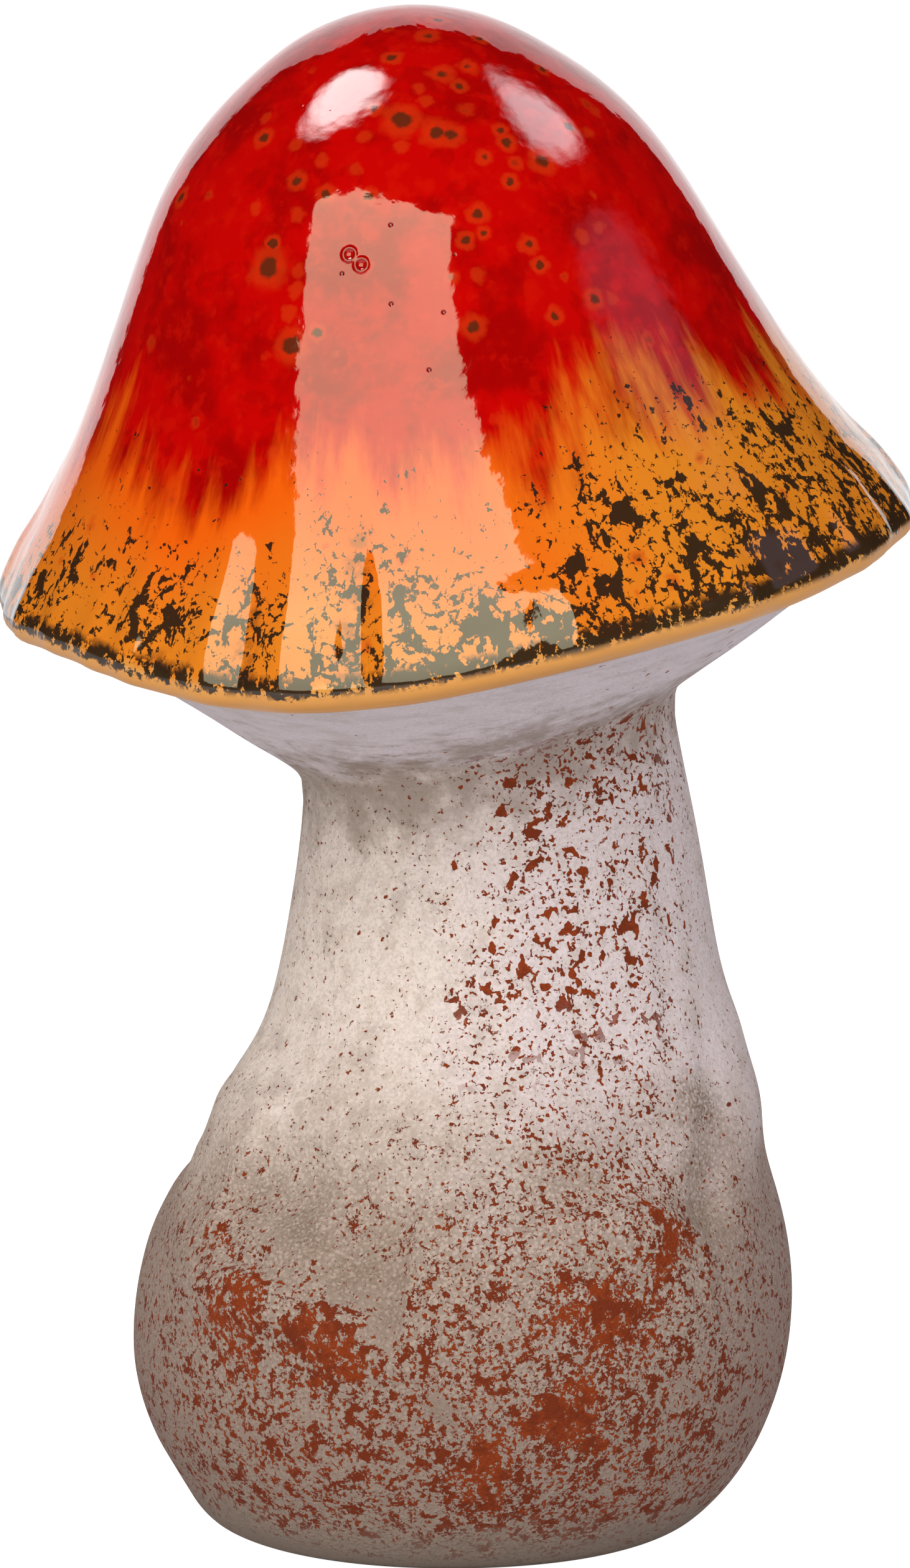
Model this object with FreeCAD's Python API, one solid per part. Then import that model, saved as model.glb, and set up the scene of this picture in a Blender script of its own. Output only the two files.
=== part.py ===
import FreeCAD, Part
import math
import os
from functools import lru_cache

# A hollow ceramic mushroom, in millimetres: a bulbous stem that stands on a flat foot, and a
# separate domed cap that is luted to its neck with slip. White engobe coats the stem and the
# cap's underside, and a thick glaze coats the dome. The foot stands on z = 0 about the origin,
# +Z is up and the front looks along -Y. Turns are in degrees: 0 is the right, 270 the front.

# Stem
foot_radius = 25.6
bulb_radius = 44.2
neck_radius = 25.0
neck_height = 108.9
neck_shift_right = 4.4
neck_shift_back = 3.6
neck_lean_left = 12.9
neck_lean_forward = 5.0
stem_tilt_share = 0.55
fold_rise = 1.0

# Cap
cap_radius = 60.7
cap_rise = 75.0
cap_drop = 24.2
cap_shift_left = 1.5
cap_lean_left = 6.6
cap_lean_forward = 8.5
rim_warp = 3.0
pleat_rise = 1.3
pleat_reach = 26.0
pleat_turn_under = 4.0

# Walls and coats
casting_wall = 5.0
floor_thickness = 6.0
pour_hole_radius = 11.0
glaze_thickness = 0.8
glaze_turn_under = 3.2
glaze_edge_wander = 0.9
engobe_thickness = 0.4
foot_bare_height = 0.8

# Joint: a collar on the stem stands in the cap's mouth, bedded in slip
shoulder_width = 4.6
collar_wall = 4.4
collar_height = 8.0
collar_bore_drop = 1.5
mouth_wall_height = 3.4
slip_thickness = 0.8
slip_gap = 0.7
slip_bead = 1.6

# Spacing of the surfaces' poles, and steps for reading outlines and normals
columns = 180
pole_spacing = 1.8
rim_pole_spacing = 1.0
hollow_pole_spacing = 4.0
outline_step = 0.1
normal_step = 0.4
normal_turn = 0.5
overrun = 2.0

# A bump is left out where it is this many half widths away.
fade_widths = 3.0

# Stem outline from the foot to the neck: share of the neck's height, share of the way out
# from the neck's radius to the bulb's, and the ring's drift as a share of neck_shift_right.
stem_outline_shares = (
    (0.006, 0.16, -0.10),
    (0.018, 0.35, -0.10),
    (0.040, 0.50, -0.04),
    (0.075, 0.65, 0.09),
    (0.115, 0.79, 0.10),
    (0.165, 0.91, 0.11),
    (0.215, 0.98, 0.15),
    (0.265, 1.00, 0.23),
    (0.318, 0.98, 0.33),
    (0.370, 0.91, 0.45),
    (0.425, 0.79, 0.61),
    (0.480, 0.67, 0.81),
    (0.540, 0.59, 1.04),
    (0.613, 0.40, 1.30),
    (0.694, 0.25, 1.30),
    (0.776, 0.17, 1.27),
    (0.858, 0.10, 1.20),
    (0.929, 0.04, 1.10),
    (1.000, 0.00, 1.00),
)

# Cap underside from the joint to the rim's lower side: share of the way out from the neck's
# radius to the rim's, then share of the way up.
underside_outline_shares = (
    (0.000, 0.000),
    (0.060, 0.105),
    (0.167, 0.225),
    (0.264, 0.335),
    (0.500, 0.590),
    (0.750, 0.825),
    (0.936, 0.945),
)

# Dome from above the rim to the top: share of the rim's radius, then share of the rise.
dome_outline_shares = (
    (0.974, 0.056),
    (0.942, 0.103),
    (0.898, 0.153),
    (0.858, 0.206),
    (0.822, 0.254),
    (0.755, 0.353),
    (0.697, 0.451),
    (0.643, 0.545),
    (0.590, 0.637),
    (0.528, 0.727),
    (0.441, 0.816),
    (0.316, 0.904),
    (0.232, 0.950),
    (0.110, 0.988),
    (0.000, 1.000),
)

# Slow waves of the rim: turn, half width in degrees of turn, and rise as a share of rim_warp.
rim_waves = (
    (210.0, 20.0, 0.75),
    (252.0, 24.0, -0.50),
    (300.0, 30.0, 0.52),
    (338.0, 20.0, 0.30),
    (20.0, 30.0, -0.35),
    (75.0, 35.0, 0.50),
    (135.0, 32.0, -0.60),
)

# Folds of the bulb: turn, share of the neck's height, half width in degrees of turn, half
# height as a share of the neck's height, degrees of turn that the fold's axis leans over the
# neck's height, and rise as a share of fold_rise.
bulb_folds = (
    (232.0, 0.350, 21.0, 0.060, 0.0, 2.10),
    (232.0, 0.416, 19.0, 0.020, 0.0, 1.20),
    (214.0, 0.480, 4.0, 0.060, 30.0, 1.00),
    (229.0, 0.485, 12.0, 0.050, 0.0, -1.90),
    (250.0, 0.425, 7.0, 0.045, 0.0, -1.90),
    (256.5, 0.400, 3.5, 0.090, 10.0, -1.10),
    (272.0, 0.420, 13.0, 0.090, 0.0, 1.30),
    (299.0, 0.415, 12.0, 0.055, 0.0, 2.10),
    (300.0, 0.466, 11.0, 0.020, -40.0, 1.20),
    (304.0, 0.530, 11.0, 0.040, 0.0, -1.40),
    (323.0, 0.510, 3.6, 0.100, 50.0, -1.80),
    (338.0, 0.500, 10.0, 0.120, 90.0, 1.40),
    (347.0, 0.640, 13.0, 0.026, 0.0, 0.70),
    (202.0, 0.560, 13.0, 0.090, -40.0, 1.10),
    (197.0, 0.610, 12.0, 0.030, 0.0, 0.50),
    (268.0, 0.240, 5.0, 0.080, -40.0, -0.50),
    (319.0, 0.740, 3.0, 0.100, 40.0, -0.35),
    (313.0, 0.730, 4.0, 0.110, 40.0, 0.30),
    (288.0, 0.769, 2.0, 0.012, 0.0, -0.30),
    (20.0, 0.430, 15.0, 0.090, 20.0, 1.20),
    (44.0, 0.500, 4.5, 0.100, -25.0, -1.20),
    (68.0, 0.400, 15.0, 0.070, 0.0, 1.30),
    (66.0, 0.450, 13.0, 0.022, 15.0, 0.50),
    (72.0, 0.515, 11.0, 0.045, 0.0, -1.20),
    (94.0, 0.450, 4.0, 0.090, 30.0, -1.20),
    (118.0, 0.440, 15.0, 0.085, -20.0, 1.30),
    (122.0, 0.620, 14.0, 0.035, 0.0, 0.70),
    (142.0, 0.470, 4.5, 0.110, 45.0, -1.30),
    (163.0, 0.380, 13.0, 0.065, 0.0, 1.20),
    (164.0, 0.430, 12.0, 0.020, -20.0, 0.50),
    (168.0, 0.500, 9.0, 0.045, 0.0, -1.10),
    (184.0, 0.460, 4.0, 0.090, -20.0, -1.00),
)

# Pleats of the rim: turn, half width in degrees of turn, rise as a share of pleat_rise and
# reach up the dome as a share of pleat_reach.
rim_pleats = (
    (8.0, 2.2, 0.8, 0.8),
    (21.5, 1.6, -0.6, 0.7),
    (30.0, 2.4, 0.9, 1.0),
    (47.0, 1.8, 0.7, 0.6),
    (60.5, 2.0, -0.8, 0.9),
    (68.0, 2.6, 1.0, 1.1),
    (83.0, 1.6, 0.6, 0.5),
    (97.0, 2.2, 0.9, 0.9),
    (105.0, 1.5, -0.7, 0.8),
    (119.5, 1.8, 0.7, 0.6),
    (134.0, 2.6, 0.9, 1.1),
    (142.0, 1.6, -0.8, 0.9),
    (157.5, 2.0, 0.8, 0.7),
    (175.0, 2.4, 0.9, 1.0),
    (184.5, 1.5, -0.6, 0.7),
    (199.0, 1.8, 0.7, 0.7),
    (209.0, 1.4, 0.5, 0.5),
    (218.3, 1.6, 0.7, 0.5),
    (225.0, 1.7, 0.9, 0.9),
    (237.4, 2.2, 1.0, 1.1),
    (242.5, 1.2, -0.6, 0.9),
    (248.4, 2.4, 0.9, 1.0),
    (257.6, 2.0, -0.9, 1.1),
    (264.5, 1.6, 0.5, 0.6),
    (285.9, 1.8, 0.7, 0.5),
    (297.0, 1.6, -0.4, 0.6),
    (308.8, 1.4, 0.8, 0.6),
    (314.5, 1.3, -0.5, 0.6),
    (333.0, 1.7, 0.9, 0.6),
    (337.5, 1.3, 0.6, 0.5),
    (350.0, 1.8, 0.7, 0.7),
)

# Waves of the glaze's lower edge: waves in a turn, phase in degrees and share of the wander.
glaze_edge_waves = (
    (3, 20.0, 0.5),
    (7, 110.0, 0.3),
    (13, 250.0, 0.2),
)

turns = [360.0 * column / columns for column in range(columns)]


def smooth_step(share):
    """Rise from 0 to 1 with level ends."""
    share = min(1.0, max(0.0, share))
    return share * share * (3.0 - 2.0 * share)


def bump(offset, half_width):
    """A rounded bump of height 1 that fades beyond its half width."""
    return math.exp(-((offset / half_width) ** 2))


def turn_between(turn, middle):
    """The signed angle from a middle to a turn."""
    return math.remainder(turn - middle, 360.0)


class Outline:
    """A smooth half section, read by the length travelled along it."""

    def __init__(self, points):
        curve = Part.BSplineCurve()
        curve.interpolate([FreeCAD.Vector(*point) for point in points])
        self.length = curve.length()
        count = round(self.length / outline_step) + 1
        self.step = self.length / (count - 1)
        self.samples = curve.discretize(Number=count)

    def at(self, place):
        """Radius, drift and height at a place along the outline."""
        steps = min(max(place, 0.0), self.length) / self.step
        index = min(int(steps), len(self.samples) - 2)
        before = self.samples[index]
        return before + (self.samples[index + 1] - before) * (steps - index)

    def widest(self):
        """Place where the outline is widest."""
        radii = [sample.x for sample in self.samples]
        return radii.index(max(radii)) * self.step

    def reaches(self, height):
        """First place at a height."""
        above = (index for index, sample in enumerate(self.samples) if sample.z >= height)
        return next(above) * self.step


class Ring:
    """A circle's centre and its right, back and up directions."""

    def __init__(self, centre, lean_left, lean_forward):
        slope_left = math.tan(math.radians(lean_left))
        slope_forward = math.tan(math.radians(lean_forward))
        self.centre = centre
        self.up = FreeCAD.Vector(-slope_left, -slope_forward, 1.0).normalize()
        self.right = (FreeCAD.Vector(1.0, 0.0, 0.0) - self.up * self.up.x).normalize()
        self.back = self.up.cross(self.right)

    def point(self, turn, radius, rise=0.0):
        """A point at a turn and radius, a rise above the ring's centre."""
        angle = math.radians(turn)
        across = self.right * (radius * math.cos(angle)) + self.back * (radius * math.sin(angle))
        return self.centre + across + self.up * rise

    def row(self, radius, rise=0.0):
        """A closed row of poles on the circle."""
        return [self.point(turn, radius, rise) for turn in turns]


# The joint's plane is where the cap's mouth lies on its bed of slip.
floor = Ring(FreeCAD.Vector(0.0, 0.0, 0.0), 0.0, 0.0)
neck_centre = FreeCAD.Vector(neck_shift_right, neck_shift_back, neck_height)
neck = Ring(neck_centre, neck_lean_left, neck_lean_forward)
cap_axes = Ring(neck_centre, cap_lean_left, cap_lean_forward)
rim_centre = neck_centre + cap_axes.up * cap_drop - cap_axes.right * cap_shift_left

stem_outline = Outline(
    [(foot_radius, 0.0, 0.0)]
    + [
        (neck_radius + (bulb_radius - neck_radius) * out, neck_shift_right * aside, neck_height * up)
        for up, out, aside in stem_outline_shares
    ]
)
cap_outline = Outline(
    [
        (neck_radius + (cap_radius - neck_radius) * out, 0.0, cap_drop * (up - 1.0))
        for out, up in underside_outline_shares
    ]
    + [(cap_radius, 0.0, 0.0)]
    + [(cap_radius * out, 0.0, cap_rise * up) for out, up in dome_outline_shares]
)
rim_place = cap_outline.widest()


def fold_relief(turn, share):
    """How far the bulb's folds stand out at a turn and a share of the neck's height."""
    total = 0.0
    for middle, height, half_turn, half_height, lean, rise in bulb_folds:
        above = share - height
        if abs(above) < fade_widths * half_height:
            aside = turn_between(turn, middle + lean * above)
            total += rise * bump(aside, half_turn) * bump(above, half_height)
    return fold_rise * total


@lru_cache(maxsize=None)
def pleats_at(turn):
    """The pleats that pass through a turn: each one's rise there and its reach."""
    found = []
    for middle, half_turn, rise, reach in rim_pleats:
        aside = turn_between(turn, middle)
        if abs(aside) < fade_widths * half_turn:
            found.append((pleat_rise * rise * bump(aside, half_turn), pleat_reach * reach))
    return found


def pleat_relief(turn, above_rim):
    """How far the pleats stand out at a turn and a distance up the dome from the rim."""
    if above_rim < 0.0:
        under = smooth_step(1.0 + above_rim / pleat_turn_under)
        return under * sum(rise for rise, reach in pleats_at(turn))
    return sum(rise * smooth_step(1.0 - above_rim / reach) for rise, reach in pleats_at(turn))


@lru_cache(maxsize=None)
def rim_rise(turn):
    """How far the rim's slow waves lift it at a turn."""
    waves = (rise * bump(turn_between(turn, middle), half_turn) for middle, half_turn, rise in rim_waves)
    return rim_warp * sum(waves)


def stem_point(place, turn, detailed=True):
    """A point of the stem casting's outside."""
    section = stem_outline.at(place)
    share = section.z / neck_height
    tilt = smooth_step((share - stem_tilt_share) / (1.0 - stem_tilt_share))
    centre = FreeCAD.Vector(section.y, neck_shift_back * share, section.z)
    ring = Ring(centre, neck_lean_left * tilt, neck_lean_forward * tilt)
    relief = fold_relief(turn, share) if detailed else 0.0
    return ring.point(turn, section.x + relief)


def cap_point(place, turn, detailed=True):
    """A point of the cap casting's outside."""
    section = cap_outline.at(place)
    to_neck = (1.0 - smooth_step(1.0 + min(0.0, section.z) / cap_drop)) ** 3
    ring = Ring(
        rim_centre + cap_axes.up * section.z + cap_axes.right * (cap_shift_left * to_neck),
        cap_lean_left + (neck_lean_left - cap_lean_left) * to_neck,
        cap_lean_forward + (neck_lean_forward - cap_lean_forward) * to_neck,
    )
    outward = smooth_step((section.x - neck_radius) / (cap_radius - neck_radius))
    relief = pleat_relief(turn, place - rim_place) if detailed else 0.0
    return ring.point(turn, section.x + relief, outward * rim_rise(turn))


def lifted(point_at, place, turn, lift, detailed=True):
    """A surface's point, moved out along the surface's normal."""
    point = point_at(place, turn, detailed)
    if lift == 0.0:
        return point
    along = point_at(place + normal_step, turn, detailed) - point_at(place - normal_step, turn, detailed)
    around = point_at(place, turn + normal_turn, detailed) - point_at(place, turn - normal_turn, detailed)
    return point + around.cross(along).normalize() * lift


def places_between(start, end, spacing):
    """Evenly spaced places from start to end."""
    count = max(3, math.ceil((end - start) / spacing))
    return [start + (end - start) * step / count for step in range(count + 1)]


def rows_at(point_at, places, lift=0.0, detailed=True):
    """Closed rows of poles at places along a surface."""
    return [[lifted(point_at, place, turn, lift, detailed) for turn in turns] for place in places]


def ring_face(rows, degree=3):
    """A face from the first closed row of poles to the last."""
    spans = len(rows) - degree
    surface = Part.BSplineSurface()
    surface.buildFromPolesMultsKnots(
        [list(column) for column in zip(*rows)],
        [1] * (columns + 1),
        [degree + 1] + [1] * (spans - 1) + [degree + 1],
        list(range(columns + 1)),
        list(range(spans + 1)),
        True,
        False,
        3,
        degree,
    )
    return surface.toShape()


def strip(row_a, row_b):
    """A straight-sided face between two closed rows."""
    return ring_face([row_a, row_b], degree=1)


def disc(row):
    """A flat face inside a flat closed row."""
    curve = Part.BSplineCurve()
    curve.buildFromPolesMultsKnots(row, [1] * (columns + 1), list(range(columns + 1)), True, 3)
    return Part.Face(Part.Wire([curve.toShape()]))


def solid(faces):
    """The closed solid that the faces bound."""
    skin = Part.makeCompound(faces)
    skin.sewShape()
    body = Part.makeSolid(skin.Shells[0])
    if body.Volume < 0.0:
        body.reverse()
    return body


# Stem casting
engobe_start = stem_outline.reaches(foot_bare_height)
stem_end = stem_outline.length
stem_places = places_between(engobe_start, stem_end, pole_spacing)
stem_rows = rows_at(stem_point, stem_places[:-1])
stem_rows.append(neck.row(neck_radius, -slip_thickness))
stem_skin = ring_face(stem_rows)
foot_rows = rows_at(stem_point, places_between(0.0, engobe_start, rim_pole_spacing))

collar_radius = neck_radius - shoulder_width
collar_bore_radius = collar_radius - collar_wall
collar_foot = neck.row(collar_radius, -slip_thickness)
collar_top = neck.row(collar_radius, collar_height)
bore_foot = neck.row(collar_bore_radius, -slip_thickness - collar_bore_drop)
bore_top = neck.row(collar_bore_radius, collar_height)

cavity_start = stem_outline.reaches(floor_thickness + casting_wall)
cavity_end = stem_end - 2.0 * casting_wall
cavity_rows = [floor.row(foot_radius, floor_thickness)]
cavity_places = places_between(cavity_start, cavity_end, hollow_pole_spacing)
cavity_rows += rows_at(stem_point, cavity_places, -casting_wall, False)
cavity_rows.append(bore_foot)
stem_casting = solid(
    [
        disc(foot_rows[0]),
        ring_face(foot_rows),
        stem_skin,
        strip(stem_rows[-1], collar_foot),
        strip(collar_foot, collar_top),
        strip(collar_top, bore_top),
        strip(bore_top, bore_foot),
        ring_face(cavity_rows),
        disc(cavity_rows[0]),
    ]
)
pour_hole_depth = floor_thickness + 2.0 * overrun
pour_hole = Part.makeCylinder(pour_hole_radius, pour_hole_depth, FreeCAD.Vector(0.0, 0.0, -overrun))
stem_casting = stem_casting.cut(pour_hole)

# Stem engobe
stem_coat_rows = rows_at(stem_point, stem_places[:-1], engobe_thickness)
stem_coat_rows.append(neck.row(neck_radius + engobe_thickness, -slip_thickness))
stem_engobe = solid(
    [
        stem_skin,
        ring_face(stem_coat_rows),
        strip(stem_rows[0], stem_coat_rows[0]),
        strip(stem_rows[-1], stem_coat_rows[-1]),
    ]
)


def glaze_edge(turn):
    """Place of the glaze's lower edge, which wanders a little."""
    swings = (size * math.sin(math.radians(waves * turn + phase)) for waves, phase, size in glaze_edge_waves)
    return rim_place - glaze_turn_under + glaze_edge_wander * sum(swings)


def underside_rows(lift):
    """Rows from just outside the joint to the glaze's edge."""
    count = math.ceil((rim_place - glaze_turn_under) / pole_spacing)
    shares = [step / count for step in range(1, count + 1)]
    edges = [(turn, glaze_edge(turn)) for turn in turns]
    return [[lifted(cap_point, edge * share, turn, lift) for turn, edge in edges] for share in shares]


def dome_rows(lift):
    """Rows from the glaze's edge to the top, close together round the rim."""
    length = cap_outline.length - rim_place + glaze_turn_under
    places = [0.0]
    while places[-1] < length:
        spread = smooth_step((places[-1] - 2.0 * glaze_turn_under) / pleat_reach)
        places.append(places[-1] + rim_pole_spacing + (pole_spacing - rim_pole_spacing) * spread)
    edges = [(turn, glaze_edge(turn)) for turn in turns]
    rows = []
    for place in places[:-1]:
        share = place / places[-1]
        starts = [(turn, edge + (cap_outline.length - edge) * share) for turn, edge in edges]
        rows.append([lifted(cap_point, start, turn, lift) for turn, start in starts])
    top = rim_centre + cap_axes.up * (cap_rise + lift)
    return rows + [[top] * columns]


# Cap casting
cap_dome_rows = dome_rows(0.0)
dome_skin = ring_face(cap_dome_rows)
cap_underside_rows = [neck.row(neck_radius)] + underside_rows(0.0)
underside_skin = ring_face(cap_underside_rows)

mouth_radius = collar_radius + slip_gap
mouth_foot = neck.row(mouth_radius)
mouth_top = neck.row(mouth_radius, mouth_wall_height)
hollow_places = places_between(2.0 * casting_wall, rim_place - 2.0 * casting_wall, hollow_pole_spacing)
hollow_places += places_between(
    rim_place + 2.0 * casting_wall, cap_outline.length, hollow_pole_spacing
)[:-1]
hollow_top = rim_centre + cap_axes.up * (cap_rise - casting_wall)
hollow_rows = [mouth_top] + rows_at(cap_point, hollow_places, -casting_wall, False)
hollow_rows.append([hollow_top] * columns)
cap_casting = solid(
    [
        underside_skin,
        dome_skin,
        strip(cap_underside_rows[0], mouth_foot),
        strip(mouth_foot, mouth_top),
        ring_face(hollow_rows),
    ]
)

# Cap glaze
glaze_rows = dome_rows(glaze_thickness)
cap_glaze = solid([dome_skin, ring_face(glaze_rows), strip(cap_dome_rows[0], glaze_rows[0])])

# Underside engobe
wash_rows = [neck.row(neck_radius + engobe_thickness)] + underside_rows(engobe_thickness)
underside_engobe = solid(
    [
        underside_skin,
        ring_face(wash_rows),
        strip(cap_underside_rows[0], wash_rows[0]),
        strip(cap_underside_rows[-1], wash_rows[-1]),
    ]
)

# Joint slip: an outer edge that shows as a fine line, a bed, an upright wall and a bead
slip_outer_radius = neck_radius + engobe_thickness
slip_corners = (
    (slip_outer_radius, -slip_thickness),
    (slip_outer_radius + slip_thickness / 4.0, -slip_thickness / 2.0),
    (slip_outer_radius, 0.0),
    (mouth_radius, 0.0),
    (mouth_radius, mouth_wall_height),
    (collar_radius, mouth_wall_height + slip_bead),
    (collar_radius, -slip_thickness),
)
slip_rows = [neck.row(radius, rise) for radius, rise in slip_corners]
joint_slip = solid([strip(slip_rows[index - 1], row) for index, row in enumerate(slip_rows)])

pieces = {
    "stem_casting": stem_casting,
    "cap_casting": cap_casting,
    "joint_slip": joint_slip,
    "cap_glaze": cap_glaze,
    "underside_engobe": underside_engobe,
    "stem_engobe": stem_engobe,
}
os.makedirs("parts", exist_ok=True)
for name, shape in pieces.items():
    shape.exportStep(f"parts/{name}.step")
    print(name, "valid" if shape.isValid() else "not valid", round(shape.Volume), "mm3")
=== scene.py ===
"""A ceramic mushroom ornament: glossy glazed cap, whitewashed stem with root folds."""

import math

import bpy
from bpy.props import FloatProperty, IntProperty, PointerProperty
from mathutils import Matrix, Vector, noise


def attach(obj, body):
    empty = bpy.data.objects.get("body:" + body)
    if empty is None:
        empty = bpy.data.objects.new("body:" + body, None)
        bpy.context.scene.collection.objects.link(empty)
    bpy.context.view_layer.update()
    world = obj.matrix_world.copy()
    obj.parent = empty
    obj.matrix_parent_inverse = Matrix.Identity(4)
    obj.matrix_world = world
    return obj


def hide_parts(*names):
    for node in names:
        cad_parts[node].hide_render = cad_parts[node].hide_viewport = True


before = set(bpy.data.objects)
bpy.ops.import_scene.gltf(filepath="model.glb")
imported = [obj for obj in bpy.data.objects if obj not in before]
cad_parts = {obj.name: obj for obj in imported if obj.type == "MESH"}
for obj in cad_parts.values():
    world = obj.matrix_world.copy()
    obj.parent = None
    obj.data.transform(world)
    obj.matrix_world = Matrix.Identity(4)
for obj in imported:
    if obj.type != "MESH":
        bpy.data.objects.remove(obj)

bl_info = {
    "name": "Ceramic Mushroom",
    "version": (1, 0, 0),
    "blender": (4, 5, 0),
    "location": "View3D > Sidebar > Mushroom",
    "description": "Throws, coats and glazes a ceramic mushroom ornament round its castings",
    "category": "Add Mesh",
}

MM = 0.001


# Sizes


def length(name, description, default):
    """A length in metres that the sidebar shows with its unit."""
    return FloatProperty(name=name, description=description, default=default, unit="LENGTH", precision=4)


def angle(name, description, default):
    """An angle that the sidebar shows in degrees."""
    return FloatProperty(name=name, description=description, default=math.radians(default), unit="ROTATION")


class MushroomCapSizes(bpy.types.PropertyGroup):
    """How the cap stands and what its glaze measures."""

    rim_right: length("Rim right", "Rim's centre to the right of the foot's centre", 0.13 * MM)
    rim_back: length("Rim back", "Rim's centre behind the foot's centre", 0.05 * MM)
    rim_height: length("Rim height", "Rim's centre above the ground", 132.5 * MM)
    rim_radius: length("Rim radius", "Radius of the casting at the rim", 60.7 * MM)
    rise: length("Rise", "Height of the casting's dome above the rim's centre", 75.0 * MM)
    lean_left: angle("Lean left", "How far the cap leans to the viewer's left", 6.6)
    lean_forward: angle("Lean forward", "How far the cap leans towards the viewer", 8.5)
    rim_warp: length("Rim warp", "How far the rim's slow waves lift and drop it", 3.0 * MM)
    glaze: length("Glaze", "Thickness of the glaze", 0.8 * MM)
    turn_under: length("Turn under", "How far below the rim's widest line the glaze ends", 3.0 * MM)
    pleat_rise: length("Pleat rise", "How much thicker the glaze stands on the rim's pleats", 0.45 * MM)
    sides: IntProperty(name="Sides", description="Sides of the thrown glaze shell", default=400)


class MushroomStemSizes(bpy.types.PropertyGroup):
    """How the stem's neck stands and what the engobe measures."""

    neck_right: length("Neck right", "Neck's centre to the right of the foot's centre", 4.4 * MM)
    neck_back: length("Neck back", "Neck's centre behind the foot's centre", 3.6 * MM)
    neck_height: length("Neck height", "Neck's centre above the ground", 108.9 * MM)
    neck_radius: length("Neck radius", "Radius of the casting at the neck", 25.0 * MM)
    bulb_radius: length("Bulb radius", "Radius of the casting at the bulb", 44.2 * MM)
    lean_left: angle("Neck lean left", "How far the neck's plane leans to the viewer's left", 12.9)
    lean_forward: angle("Neck lean forward", "How far the neck's plane leans towards the viewer", 5.0)
    engobe: length("Engobe", "Thickness of the engobe", 0.4 * MM)
    sides: IntProperty(name="Sides", description="Sides of the thrown engobe shells", default=200)


class MushroomStudio(bpy.types.PropertyGroup):
    """Where the ornament is seen from and how it is lit."""

    distance: length("Distance", "From the camera to the point it looks at", 1.4)
    target_height: length("Target height", "Height of the point that the camera looks at", 0.102)
    elevation: angle("Elevation", "How far above the ornament the camera stands", 8.0)
    frame_height: length("Frame height", "What the picture shows from bottom to top at the target", 0.2112)


# Modelling steps


def clear_selection():
    """Leaves nothing selected, in object mode."""
    if bpy.context.object and bpy.context.object.mode != "OBJECT":
        bpy.ops.object.mode_set(mode="OBJECT")
    bpy.ops.object.select_all(action="DESELECT")


def take_up(piece):
    """Makes a piece the only one selected, and the active one."""
    clear_selection()
    piece.select_set(True)
    bpy.context.view_layer.objects.active = piece


def tip(turning, axis, centre):
    """Turns what is selected about a centre. With no window the operator turns the other way round."""
    bpy.ops.transform.rotate(value=-turning, orient_axis=axis, orient_type="GLOBAL", center_override=centre)


def throw_shell(name, rings, sides, close_top, open_flange=False):
    """Throws a shell ring by ring from below: a ring is (radius, centre, lean left, lean forward).

    Blender takes the outside of an open flange, such as the cap's underside, for its inside,
    so its faces are turned the other way.
    """
    clear_selection()
    radius, centre = rings[0][:2]
    lean_left = lean_forward = 0.0
    bpy.ops.mesh.primitive_circle_add(vertices=sides, radius=radius, location=centre)
    piece = bpy.context.object
    piece.name = piece.data.name = name
    bpy.ops.object.transform_apply(location=True, rotation=False, scale=False)
    bpy.ops.object.mode_set(mode="EDIT")
    bpy.ops.mesh.select_all(action="SELECT")
    for index, (next_radius, next_centre, next_left, next_forward) in enumerate(rings):
        if index:
            bpy.ops.mesh.extrude_edges_move(TRANSFORM_OT_translate={"value": next_centre - centre})
        share = next_radius / radius
        bpy.ops.transform.resize(value=(share, share, share), center_override=next_centre)
        if next_left != lean_left:
            tip(lean_left - next_left, "Y", next_centre)
        if next_forward != lean_forward:
            tip(next_forward - lean_forward, "X", next_centre)
        radius, centre, lean_left, lean_forward = next_radius, next_centre, next_left, next_forward
    if close_top:
        bpy.ops.mesh.fill_grid(span=sides // 4)
    bpy.ops.mesh.select_all(action="SELECT")
    bpy.ops.mesh.normals_make_consistent(inside=open_flange)
    bpy.ops.object.mode_set(mode="OBJECT")
    return piece


def upright(places):
    """Level rings about the upright axis from (radius, height) places."""
    return [(radius, Vector((0.0, 0.0, height)), 0.0, 0.0) for radius, height in places]


def note_height(piece, name):
    """Keeps each vertex's height in the thrown shell, in millimetres, for its finish to read."""
    marks = piece.data.attributes.new(name, "FLOAT", "POINT")
    for vertex in piece.data.vertices:
        marks.data[vertex.index].value = vertex.co.z / MM


def stand(piece, turning, place):
    """Turns a piece and puts it in its place, with both kept in its mesh."""
    take_up(piece)
    piece.rotation_euler = turning
    piece.location = place
    bpy.ops.object.transform_apply(location=True, rotation=True, scale=True)


def finish_with(piece, kind, **settings):
    """Adds one modifier with its settings and applies it."""
    take_up(piece)
    modifier = piece.modifiers.new(kind.title(), kind)
    for setting, value in settings.items():
        setattr(modifier, setting, value)
    bpy.ops.object.modifier_apply(modifier=modifier.name)


def weigh(piece, name, weight_of):
    """Makes a vertex group whose weights come from each vertex's place."""
    group = piece.vertex_groups.new(name=name)
    for vertex in piece.data.vertices:
        weight = weight_of(vertex.co)
        if weight > 0.0:
            group.add([vertex.index], min(1.0, weight), "REPLACE")
    return name


def push(piece, group, direction, reach):
    """Moves a vertex group's vertices by their weights."""
    finish_with(piece, "DISPLACE", vertex_group=group, direction=direction, strength=reach, mid_level=0.0)


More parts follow.
